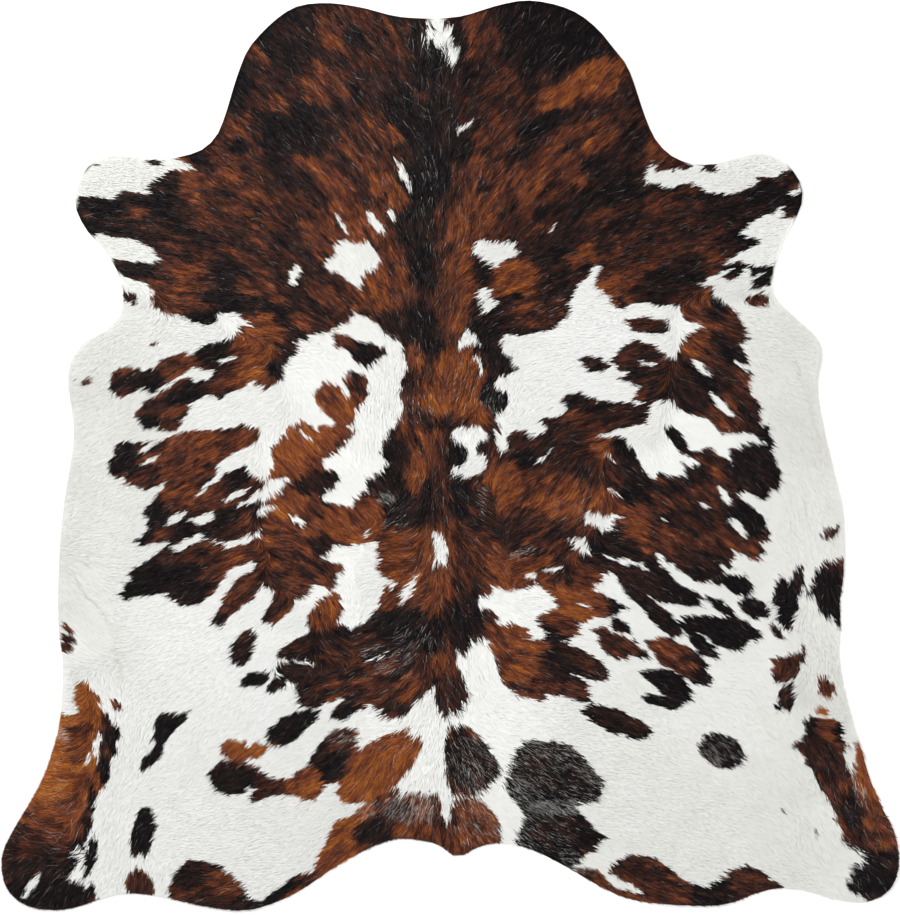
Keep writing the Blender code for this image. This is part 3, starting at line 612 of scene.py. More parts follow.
# %% Chart of the blotches and bars
Patch = namedtuple("Patch", "across along half_length half_width heading tone")
PATCHES = [Patch(*row) for row in (
    # neck, left
    (-38, 97, 7, 4.4, 0, 0.88), (-37, 102, 5, 3, 0, 0.82), (-29, 102.6, 3.6, 2.6, -60, 0.58),
    (-28, 97.4, 4, 1.6, -60, 0.46), (-22.6, 98, 3.4, 2.4, -60, 0.86), (-24, 103.6, 3, 1.4, -50, 0.56),
    (-13.4, 101, 3.6, 1.8, -60, 0.62), (-17.6, 93.6, 4, 1.6, -50, 0.7), (-11, 94, 3.4, 1.5, -70, 0.62),
    (-8, 97, 5, 2, 90, 0.95), (-45, 93.4, 4, 2, -50, 0.56), (-49, 88, 4.4, 2.6, -50, 0.88),
    (-50.6, 82.6, 3.6, 2, -60, 0.85), (-38.6, 91.6, 4, 2, -30, 0.8), (-29.6, 90.4, 4.4, 1.7, -55, 0.52),
    (-25.6, 93, 3, 1.2, -50, 0.8), (-32, 85.6, 4.4, 2.2, -40, 0.44), (-40.6, 83, 3, 1.7, -40, 0.46),
    (-26.6, 87.4, 3.4, 1.5, -55, 0.5), (-22.4, 86.6, 3.4, 1.4, -55, 0.8), (-45.4, 84.6, 3, 1.6, -40, 0.78),
    (-4.6, 92.6, 5.4, 3, 90, 0.93), (-12.6, 81.6, 5, 3.6, 90, 0.97), (-6.4, 85, 2.2, 1.4, 0, 0.64),
    (-2, 87, 5, 1.8, 90, 0.86), (-5, 79.6, 4, 3.4, 90, 0.95), (-37, 78, 9, 3, 12, 0.97),
    (-42.6, 74, 3.6, 2.4, -20, 0.94), (-35, 74.4, 4, 1.6, -20, 0.93), (-37, 71.6, 2.6, 1.4, -30, 0.86),
    (-51.4, 77.4, 3.4, 2.2, -40, 0.56), (-49.6, 73.2, 2.6, 1.6, 20, 0.95), (-45.6, 76, 2.4, 1.5, -40, 0.66),
    (-18.6, 79, 4.6, 1.1, -48, 0.54), (-14, 75.6, 2.6, 1.9, -50, 0.52), (-25, 74.6, 6, 1.3, -52, 0.58),
    (-29, 77.6, 3, 1.6, -50, 0.82), (-20.4, 73, 4, 1.8, -52, 0.84), (-34.6, 68.6, 3.2, 1.5, -35, 0.42),
    (-30, 66.4, 5, 1.9, -45, 0.42), (-25.6, 62.6, 4, 1.5, -48, 0.5), (-23.4, 66.8, 3, 1.4, -50, 0.72),
    (-20.6, 61.8, 3.4, 1.4, -55, 0.8), (-15.4, 63, 4.6, 2.8, -60, 0.4), (-17.4, 69, 3.6, 1.5, -55, 0.62),
    (-33, 62.4, 6, 1.6, -50, 0.8), (-39.4, 66.4, 4, 2, -40, 0.86), (-25, 57, 5, 1.8, -45, 0.42),
    (-46, 61, 5, 2, -30, 0.56), (-38, 60, 4, 1.8, -42, 0.74), (-4.6, 68, 7, 4.6, 90, 0.96),
    (-11.2, 60.6, 3, 1.7, 90, 0.46), (-52, 66, 4, 1.6, -28, 0.48), (-52.4, 62, 2, 1.2, -20, 0.84),
    # shoulder and fore leg, left
    (-61.6, 64, 4.4, 2.6, 90, 0.5), (-86.6, 57.4, 2.2, 1.4, -20, 0.7), (-55, 73, 3, 1.8, -30, 0.7),
    (-82.6, 59, 5.4, 2, -5, 0.95), (-76.6, 60.2, 3, 1.5, 0, 0.94), (-72.4, 57.5, 2.8, 1.5, 0, 0.62),
    (-68, 60, 4.6, 2.7, 90, 0.9), (-71, 64.4, 1.8, 1.6, 0, 0.97), (-62, 57.6, 3, 1.4, -20, 0.7),
    (-63, 69, 2, 0.9, -10, 0.46), (-58.4, 69.6, 3, 1.8, -20, 0.92), (-64, 54, 4, 2, -10, 0.84),
    (-70, 51.6, 4, 1.6, -10, 0.78), (-57.6, 50.4, 3.4, 2, -20, 0.88), (-53, 56, 4, 1.6, -20, 0.7),
    (-50, 50.6, 4, 1.8, -30, 0.76), (-48.6, 47, 4, 1.2, -25, 0.5), (-64, 40.6, 6, 5, 0, 0.53),
    (-62.6, 46.6, 4, 1.2, -10, 0.7), (-61, 38, 3, 1.2, -5, 0.66), (-75, 44, 4, 1.4, -10, 0.95),
    (-52.6, 34.5, 3.4, 1.9, 0, 0.9), (-57.4, 35, 2, 1.5, 0, 0.52), (-54, 44.6, 2.6, 2, 0, 0.9),
    (-58, 31.5, 3, 1.2, 0, 0.97), (-49, 35.6, 4, 2, 0, 0.82), (-42, 33.6, 3, 2, 0, 0.86),
    (-44.4, 43.6, 4, 1.2, -25, 0.66), (-47.6, 39.6, 3.4, 1.8, -20, 0.48), (-42, 38, 3.4, 1.5, -35, 0.48),
    (-33, 52.6, 3.6, 2, -45, 0.45), (-35.6, 47.6, 3.4, 1.8, -40, 0.72), (-30, 38, 5, 3.2, -40, 0.55),
    (-22.8, 36.6, 3, 1.8, -45, 0.46), (-27, 34.4, 3, 2, -40, 0.6), (-34.6, 31.6, 3, 2.2, -40, 0.46),
    (-30.4, 47.6, 2.4, 1.4, -40, 0.56), (-44, 28, 5.2, 5, 0, 0.35), (-41, 21, 2.4, 1.9, 0, 0.88),
    (-43.4, 17, 2.8, 1.5, 0, 0.44), (-38, 26, 2.4, 1.8, 0, 0.8), (-15, 42, 7.4, 4.4, 80, 0.43),
    (-13.4, 51.4, 3, 1.6, -65, 0.7), (-13, 33, 3, 2.2, 0, 0.78),
    # neck and shoulder, right
    (25.5, 98.5, 12, 7, 0, 0.97), (5.6, 103, 2.6, 1.6, 0, 0.46), (9.4, 99, 4.4, 3, 90, 0.62),
    (2, 98.6, 4, 1.8, 90, 0.92), (36, 95.4, 4, 2.2, -30, 0.9), (30, 87.6, 10.6, 3, 33, 0.33),
    (37.4, 88, 3.4, 2.4, 0, 0.42), (42, 86, 3.6, 2, 60, 0.84),
    (21.6, 78.4, 7, 2.1, 25, 0.95), (18.4, 88.6, 5, 2.2, -60, 0.84), (11.6, 83.6, 3.4, 1.6, 30, 0.78),
    (8, 88, 3, 2, 60, 0.72), (7, 94, 3, 1.6, 50, 0.64), (12.6, 91, 2.6, 1.4, 40, 0.68),
    (4, 91, 3, 1.4, 90, 0.95), (5, 82.6, 3.4, 2, 50, 0.82), (37.6, 82.6, 5, 1.8, 30, 0.7),
    (30, 81.6, 4, 1.4, 30, 0.76), (14, 79, 3.4, 1.6, 35, 0.5), (7.4, 74.6, 2.6, 1.8, 40, 0.56),
    (14, 73.6, 2.8, 1.3, 40, 0.58), (18.6, 72, 2.6, 1.5, 60, 0.82), (35, 74, 4.2, 1.6, 30, 0.4),
    (30, 77.4, 5, 1.6, 30, 0.54), (24.6, 73.4, 3.4, 1.4, 35, 0.52), (28.6, 69.4, 3, 2, -40, 0.46),
    (20, 66.8, 6, 1.3, 15, 0.54), (29.6, 65, 3, 1.6, -30, 0.5), (34, 68.6, 3.6, 2.4, 10, 0.94),
    (39.4, 70.4, 3.4, 2, 40, 0.8), (43.4, 75.4, 4, 2.4, 60, 0.88), (49, 72, 3, 2, 60, 0.42),
    (5, 67, 4, 2.2, 60, 0.44), (8, 63.6, 2.6, 1.3, 30, 0.84), (14.6, 60.8, 2.8, 1.2, 40, 0.76),
    (10.4, 66.8, 3.4, 1.9, 30, 0.5), (10.6, 60, 3, 1.6, 50, 0.46), (23.6, 58, 4.6, 1.8, 15, 0.88),
    (4.6, 60.6, 4, 2.6, 70, 0.45),
    (19, 62.6, 3.2, 2.4, 40, 0.46), (14, 56.6, 3.6, 1.6, 30, 0.76), (25.6, 61.6, 3, 1.2, 40, 0.64),
    (31, 60.6, 3.4, 1.6, 20, 0.8), (39, 62.4, 6.4, 2.2, 10, 0.92), (49, 60.4, 3.6, 1.8, 20, 0.52),
    (35, 56, 4.4, 2, 20, 0.6), (42.6, 56, 3.6, 1.6, 15, 0.8), (20, 53, 4.4, 1.8, 10, 0.6),
    (2, 73, 5, 3, 90, 0.88), (75, 61.4, 4.8, 3.2, 20, 0.97), (60, 61, 4, 1.6, 0, 0.86),
    (66, 57, 8, 2.4, 10, 0.84), (56.6, 62.6, 2.4, 1.1, -10, 0.6), (56.4, 56.6, 4, 1.6, 10, 0.8),
    (79.6, 64.9, 2.4, 1.3, 0, 0.7), (80.6, 59.6, 3, 2.8, 0, 0.93), (15.4, 41.5, 5.2, 4.3, 0, 0.33),
    (8, 42.4, 3, 1.5, 90, 0.9), (23, 47.6, 5, 2.3, 0, 0.88), (26, 43, 3, 2.2, 0, 0.77),
    (14, 37, 4.4, 0.9, 0, 0.84), (18, 35, 3.4, 1.6, 0, 0.5), (20.5, 32, 3, 1.8, 0, 0.56),
    (25.4, 34.6, 3, 2.2, 60, 0.6), (10, 32, 4.4, 2.2, 60, 0.93), (4.4, 36.6, 3.6, 1.5, 80, 0.4),
    (29, 46, 2.6, 1.2, -30, 0.38), (32.5, 47.5, 3.2, 1.5, -50, 0.38), (39, 39.5, 4.4, 2.7, -35, 0.42),
    (41, 35.4, 2, 1.2, -60, 0.92), (46, 46, 3.2, 2, -30, 0.56), (40, 47.4, 3.4, 2, -30, 0.6),
    (50, 42, 3.6, 2.6, 0, 0.88), (58.4, 49, 4.4, 1.9, -10, 0.62), (63, 45.8, 2.4, 1.5, -20, 0.5),
    (70, 52, 3, 2.2, 0, 0.96), (56, 42, 4, 2.6, 0, 0.93), (73.6, 42.4, 4, 3, 0, 0.97),
    (67, 43.8, 3, 1.6, 0, 0.93), (61.4, 37.6, 3.4, 1.7, -35, 0.64),
    # back
    (-2, 42, 14, 1.7, 90, 0.64), (2.6, 42, 12, 2.4, 90, 0.46), (2.6, 17, 8.8, 5.6, 90, 0.36),
    (10, 22, 3, 2, 90, 0.8), (10.4, 14.4, 4.2, 3, 90, 0.95), (-8.5, 23.3, 3, 2.4, 90, 0.34),
    (-8, 16, 3, 2, 90, 0.72), (-7, 8.4, 4.6, 2.6, -55, 0.68), (-3.8, 13.2, 3, 1.7, -60, 0.28),
    # the bar at (-2, 7.4) is painted shadow under the chestnut whorl above it
    (-2, 7.4, 3.2, 1.3, -8, 0.95), (8, 9, 2.2, 1.8, 0, 0.4), (-10, 4.6, 3, 1.8, 0, 0.72),
    (-13.8, 1.5, 3.2, 2.6, 90, 0.88), (-8.4, -5, 5.6, 2, 90, 0.42), (-4, -2.6, 6, 1.7, 90, 0.58),
    (1.8, 0, 3, 2.2, 90, 0.98), (-4.6, -7, 2.4, 1.7, 90, 0.84), (-8, -14, 4, 2.4, 90, 0.8),
    (-1, -13, 6, 1.5, 90, 0.66), (2.4, -9.6, 5.6, 2.6, 90, 0.96), (3, -18.6, 3.4, 2.4, 90, 0.72),
    (7, -11, 5, 1.6, 90, 0.84), (7, -24, 6, 2, 90, 0.6), (3, -27, 6, 2, 90, 0.68),
    (3.2, -40.6, 5.4, 3, 90, 0.88),
    # left flank
    (-77, 17, 3.8, 2.8, 0, 0.76), (-70.5, 18, 2.9, 2.4, 90, 0.95), (-65, 21.5, 3.6, 1.9, 10, 0.53),
    (-57, 23.8, 4, 2.3, 0, 0.92), (-71, 12, 3, 1.7, 20, 0.68), (-71, 7.6, 2.5, 2, 0, 0.98),
    (-65, 9, 4, 2.4, 60, 0.6), (-61.6, 15.6, 5, 1.5, 33, 0.93), (-28, 15, 3.6, 2.6, 90, 0.42),
    (-21.5, 17, 3.4, 2, 90, 0.74), (-25, 26.2, 3.2, 1.8, 0, 0.56), (-18.6, 23.8, 5, 2.6, -20, 0.88),
    (-72, -3.6, 4, 2, -10, 0.68), (-71, -6.4, 3, 1.3, -20, 0.62), (-77.4, -0.6, 3.4, 3.4, 0, 0.92),
    (-61.5, -4.5, 6, 5, 0, 0.54), (-70.4, -12.6, 2.9, 2.9, 0, 0.98), (-65, -12, 2.4, 1.8, 0, 0.6),
    (-66, -24, 5, 1.5, 18, 0.68), (-72.5, -29, 5.6, 3.6, 60, 0.98), (-62, -29.6, 6.5, 4, 10, 0.94),
    (-57, -28.5, 3, 1.9, 0, 0.56), (-55.5, -23.2, 4, 1.6, 10, 0.56), (-54.5, -38.8, 2.6, 2, 0, 0.85),
    (-50, -5.6, 4, 2.4, 0, 0.88), (-46, -12.2, 3.4, 1.8, 10, 0.68), (-53.5, -14, 4, 2, 10, 0.86),
    (-46, -16.6, 3.4, 1.3, 10, 0.56), (-50, -18, 3, 1.2, 10, 0.7), (-44, -20.6, 4, 1.6, 0, 0.46),
    (-38, -3, 4.4, 3.2, 90, 0.35), (-38, -10, 5, 4.6, 0, 0.34), (-33, -7.2, 4.4, 1.9, 0, 0.86),
    (-31, -1.4, 3.4, 2.6, 0, 0.4), (-32, -12.4, 2.6, 2.2, 0, 0.56), (-25.6, -15, 4.6, 3.8, -20, 0.38),
    (-72, -16.6, 3, 2.2, 90, 0.93), (-57.6, -21.4, 3.6, 1.2, -10, 0.52),
    (-19.4, -15, 3.8, 4, 90, 0.38), (-17.6, -11, 2.4, 1.4, 0, 0.5), (-16, -7, 3.8, 3.4, 0, 0.86),
    (-12.2, -13.6, 3.8, 2.4, 90, 0.86), (-37, -17.4, 7, 2.8, 0, 0.46), (-37, -22, 4, 2, 0, 0.46),
    (-31, -22, 2.2, 1.7, 0, 0.86), (-41.6, -26, 4.4, 2.4, 0, 0.58), (-32, -27.6, 3.6, 1.7, 0, 0.6),
    (-27.8, -28.4, 2.2, 1.5, 0, 0.46), (-11, -23, 7, 6.4, 0, 0.4), (-15.6, -20, 2.4, 1.4, 0, 0.56),
    (-9, -19.6, 3, 1.2, 0, 0.36), (-50, -33, 4, 2, 45, 0.62), (-40, -37, 3, 2, 60, 0.6),
    # rump, left
    (-15.5, -34, 3, 2.6, 90, 0.4), (-7, -32, 3.4, 1.8, 70, 0.5), (-9, -39.6, 9, 3, -10, 0.9),
    (-30.5, -36, 4.4, 2.8, 60, 0.36), (-29, -40, 3.6, 1.2, 0, 0.42), (-25.6, -42, 4, 1.4, 0, 0.86),
    (-20, -43.4, 4, 1.5, 0, 0.58), (-17, -51, 5, 2.2, 30, 0.48), (-31, -45, 6, 2.4, 10, 0.76),
    (-27.4, -47.4, 3, 1.4, 0, 0.56), (-34, -52, 4.4, 2.6, 0, 0.8), (-24, -51, 4, 1.6, 10, 0.76),
    (-15, -58.6, 3.4, 2, 10, 0.72), (-9, -54.6, 4.6, 3.2, 40, 0.5), (-21, -56.4, 3.6, 1.8, 0, 0.76),
    (-24.4, -60.4, 3.2, 2, 20, 0.93), (-17.4, -46.8, 3.6, 1.3, 15, 0.84), (-5, -43.8, 3.4, 2.6, 90, 0.97),
    (-1.4, -47.4, 4.4, 1.5, 90, 0.52), (-25.4, -67.6, 3.6, 3, 0, 0.66), (-28.4, -73.6, 4.2, 3.2, 30, 0.9),
    (-16.7, -73.6, 12.4, 5.8, 41, 0.26), (-48.4, -69.6, 6, 3, 0, 0.22), (-51.8, -76.4, 5.4, 4, 0, 0.9),
    (-43.4, -78, 5, 3.4, 0, 0.68), (-34, -77.4, 4.2, 3.8, 0, 0.3), (-25.4, -90, 5, 4.4, 60, 0.27),
    (-27.4, -95, 4, 3, 40, 0.29), (-21, -84.2, 4, 1.8, 10, 0.36), (-18.6, -88.8, 4.8, 2.2, 10, 0.88),
    (-13, -84, 3, 2.4, 60, 0.7), (-8, -86, 3, 4, 90, 0.46), (-11, -88.6, 2.6, 2, 0, 0.36),
    (-4, -84, 3.4, 1.7, 90, 0.58), (-4.6, -89.6, 3.4, 2.4, 0, 0.54),
    # shanks
    (-86, -57, 3.4, 2.4, 90, 0.2), (-85.6, -62, 4.4, 2, 0, 0.26), (-87.6, -64.8, 4, 1.2, -6, 0.56),
    (-92.6, -71, 5.6, 1.9, 76, 0.13), (-87.4, -69, 3.6, 2.6, 90, 0.4), (-92, -78, 6, 3, 60, 0.2),
    (-87.4, -78, 4, 2.6, 90, 0.38), (-90, -84.6, 4.6, 3.4, 0, 0.39), (-97.4, -85, 3.4, 2.2, 55, 0.42),
    (-91, -89, 6, 2.4, 0, 0.52), (-99.4, -91, 4.6, 4, 0, 0.68), (-92, -93.6, 4, 2.2, 0, 0.68),
    (-94.6, -97.4, 6, 2.6, 0, 0.8), (-88, -93, 3.6, 1.8, 70, 0.94), (-94, -102.6, 9, 4.2, 0, 0.95),
    (-79.6, -67, 5, 1.4, -84, 0.95), (-81.2, -69, 2.6, 0.9, -84, 0.6), (-81.6, -75, 4.4, 1.8, -78, 0.96),
    (-84.6, -82, 4, 0.9, -80, 0.92), (-85.8, -88, 4, 1.2, -80, 0.93), (-84.9, -95, 5, 2, -100, 0.98),
    (-80, -62.4, 2, 1.6, 0, 0.8), (-86, -102, 3.4, 1.6, 0, 0.97), (94.8, -97, 3.2, 2.4, 90, 0.96),
    (84.8, -64, 2.6, 1.6, 90, 0.98), (88.8, -65.6, 3, 3, 0, 0.56), (92.2, -64.8, 2.8, 1.6, 60, 0.95),
    (83.8, -70, 3.6, 1.6, -55, 0.6), (87, -71.6, 4, 1.9, -60, 0.72), (90.6, -72, 3.4, 2, -60, 0.66),
    (89.4, -77.6, 5, 1.6, -62, 0.62), (94, -79.6, 4, 2, -65, 0.54), (97, -74.6, 4.6, 1.9, -70, 0.3),
    (95, -84.6, 5, 2.6, -65, 0.86), (99.6, -83.6, 4.4, 2, -65, 0.56), (101.6, -88, 3.4, 3, 0, 0.56),
    (97.4, -90, 4, 2.6, 0, 0.74), (99, -94.6, 5, 2.2, 0, 0.97), (104, -96, 3, 2.4, 90, 0.84),
    (97.6, -100.4, 6, 4, 30, 0.99), (100.4, -104.4, 3, 1, 10, 0.84),
    # right flank
    (44, 20, 7, 5, 0, 0.74), (44, 13.6, 3, 1.4, 0, 0.5), (38, 11.4, 10, 2.6, 0, 0.78),
    (30, 9.2, 2.8, 1.3, 0, 0.57), (22.4, 7.4, 3, 1.7, 0, 0.7), (36, 2, 3, 1.6, 0, 0.4),
    (42, 2.5, 2.8, 1.9, 0, 0.92), (60, 37, 3.2, 1.9, -30, 0.5), (64, 35.8, 2.6, 1.6, -30, 0.95),
    (66, 23, 3.8, 2.8, 0, 0.86), (56.6, 14.6, 4, 3, 0, 0.84), (67.6, 16, 4.4, 2.4, -40, 0.76),
    (70.4, 9.6, 4.6, 2.8, 90, 0.82), (63.4, 8.8, 2.8, 1.6, -30, 0.5), (62, 22, 3.2, 2.2, -20, 0.7),
    (68, 30.4, 3.4, 2.4, -40, 0.74), (62, 33, 3, 1.8, -30, 0.74), (75, 4, 3, 1.4, 90, 0.98),
    (72, -4, 6.4, 5.4, 0, 0.92), (58, -4.4, 4, 3, 0, 0.88), (63, -9.6, 3.4, 1.9, -40, 0.54),
    (55.6, -10, 4, 2.4, 0, 0.66), (60, -13.4, 4, 1.9, -30, 0.78), (56, -16.6, 4.4, 2.2, 0, 0.7),
    (59, -20.6, 5, 1.9, -20, 0.62), (65.6, -18.6, 4, 1.7, -45, 0.7), (71, -22.6, 3.4, 1.7, -30, 0.58),
    (60.6, -25, 4.6, 2, -20, 0.82), (71.4, -15.6, 4.6, 2.6, -50, 0.98), (14, -4.4, 3, 3, 0, 0.38),
    (8.4, -9.6, 3, 1.6, 90, 0.62), (13.2, -9.6, 2.6, 2.2, 90, 0.4), (20, -5.4, 3.6, 2, -10, 0.58),
    (27, -6.4, 4.4, 2.4, -10, 0.42), (20.6, -10.6, 5, 1.8, 0, 0.46), (27.6, -12.6, 5.4, 2.8, -20, 0.38),
    (36, -11.4, 4.4, 2.2, -10, 0.4), (31, -16.4, 3, 1.6, -30, 0.46), (41, -13, 5, 1.6, -20, 0.42),
    (45, -16.4, 4, 2.2, -20, 0.38), (43.4, -8, 4, 3.4, -30, 0.9), (36.6, -6, 3, 1.7, -30, 0.7),
    (31, -1.6, 5, 2.2, 0, 0.72), (49, -5.6, 2.6, 1.3, -20, 0.55), (50.4, -11.4, 3.6, 2, -20, 0.56),
    (52, -19, 4, 1.9, -20, 0.45), (17.4, -16, 7, 3, -8, 0.73), (11.6, -18.4, 3.4, 2.2, 0, 0.76),
    (13.6, -13, 3.4, 1.4, -10, 0.46), (22, -20.4, 6, 2.2, -8, 0.56), (13, -23.6, 3.4, 1.7, 0, 0.38),
    (21, -24.6, 3.6, 1.5, 0, 0.42), (30, -24, 3.4, 2, 0, 0.56), (27, -27.2, 3, 1.6, -20, 0.74),
    (14, -29.6, 4.4, 1.6, 0, 0.34), (17, -27, 4, 1.4, 0, 0.4), (24, -30, 3.4, 1.5, 0, 0.52),
    (30.6, -29.6, 3.4, 1.6, -20, 0.6), (38, -22, 4.6, 2.9, -20, 0.84), (44, -29, 6, 3, -38, 0.78),
    (47.4, -21.4, 3, 1.3, -20, 0.54), (53, -31.8, 5.4, 2.5, -20, 0.9), (58.4, -33, 3, 1.6, -30, 0.93),
    # rump, right
    (29, -34, 6.4, 3.2, 0, 0.31), (35, -35.4, 3, 2, -10, 0.44), (39.8, -35.4, 2.6, 2.3, 0, 0.98),
    (27, -38.8, 4, 2, -10, 0.42), (27.4, -41.6, 3, 1.3, 0, 0.42), (25, -42.8, 3.4, 2, -50, 0.9),
    (14.4, -42, 4, 2.4, 0, 0.36), (11.4, -43, 1.8, 2.6, 0, 0.62), (17, -48.6, 4.4, 3.6, 0, 0.4),
    (12.4, -48, 2.2, 3.4, 0, 0.5), (21.6, -45.4, 3, 1.8, -20, 0.32), (25.4, -48.6, 4.6, 2.8, 80, 0.8),
    (31, -48.4, 4.6, 2.6, -20, 0.72), (35.6, -51.6, 2.4, 1.8, -30, 0.72), (17, -54.6, 4.4, 1.9, 0, 0.76),
    (24, -54.4, 4, 1.8, 0, 0.68), (29.6, -55.6, 3.6, 2.2, -20, 0.64), (40.4, -40.8, 3, 2, -30, 0.97),
    (40.4, -45.2, 6, 2.6, -30, 0.6), (45.6, -47.2, 1.6, 1, -30, 0.85), (36, -42, 2.4, 1.5, -30, 0.74),
    (53, -47.6, 8, 3.4, -38, 0.53), (59.6, -52.6, 3, 1.8, -40, 0.96), (50.6, -54.6, 7.4, 4.4, -30, 0.97),
    (50.6, -40.4, 4.4, 2, -40, 0.9), (63, -42.4, 10, 4.4, -20, 0.98), (66.4, -39.6, 3, 1.3, -15, 0.8),
    (38.6, -62.2, 8, 3, -21, 0.78), (45.4, -65, 2.6, 1.6, -40, 0.86), (64, -69.8, 6, 4, 0, 0.9),
    (90.4, -26.6, 4, 1.9, 20, 0.78), (92, -28.4, 2, 2.6, 0, 0.8), (89, -32, 5, 3.4, 70, 0.97),
    (86.4, -29.4, 2.8, 2, 60, 0.97), (84.4, -32.8, 1.1, 0.9, 0, 0.86), (79.6, -49.6, 5, 4, 30, 0.62),
    (79.6, -56, 3, 2.2, 90, 0.82), (77, -59.6, 1.8, 1.6, 0, 0.97), (88.6, -55, 3, 2.4, 0, 0.5),
    (88, -60.5, 2, 1.4, 0, 0.2), (76.8, -41.4, 2.6, 1.4, 0, 0.8), (2.4, -55.4, 5, 2.6, 90, 0.86),
    (4.6, -71, 6.4, 5.4, 90, 0.88), (8.6, -75.6, 2.4, 2.2, 0, 0.72), (5.4, -65.8, 2, 0.8, -40, 0.5),
    (5.6, -86.6, 6, 5.4, 0, 0.4), (1, -85, 4.4, 1.4, 90, 0.6), (10.4, -90, 2, 1.6, 0, 0.5),
    (23.6, -74, 9, 6, 0, 0.88), (20, -71, 4, 2, 0, 0.8), (34, -78, 3.6, 2.6, 0, 0.9),
    (24.4, -88.6, 6.4, 3.8, 0, 0.82), (33, -90, 3.4, 2.8, 0, 0.93), (38, -101, 9, 2.6, -40, 0.46),
    (49, -98.6, 10, 3.4, -30, 0.64), (44, -98.4, 3, 1.4, -20, 0.78), (61.6, -102.8, 3.2, 2, 0, 0.84),
    (70, -100, 6, 2.8, 10, 0.7), (-59, -99.4, 6, 2.8, -6, 0.78), (-66, -104, 3, 2.4, 0, 0.56),
    (-53, -101, 5, 2.6, -20, 0.46), (-73.2, -101, 4, 3.4, 0, 0.62), (-90.6, -41, 2.6, 1.6, 0, 0.5),
    (-90.6, -44.6, 3, 2, 0, 0.72), (-40.4, -102.4, 4, 1.6, 30, 0.97), (-38, -104, 4, 1, 25, 0.55),
)]
print(len(PATCHES), "blotches and bars")

# %% [markdown]
# ## The lie of the hair
# Hair grows tip-first away from the spine, but not evenly: it turns back towards the middle beside the loin and
# over the neck, which leaves partings and seams. `heading` is the way the tips point, in degrees from the right of
# the hide, and `reach` is how far that guide rules.

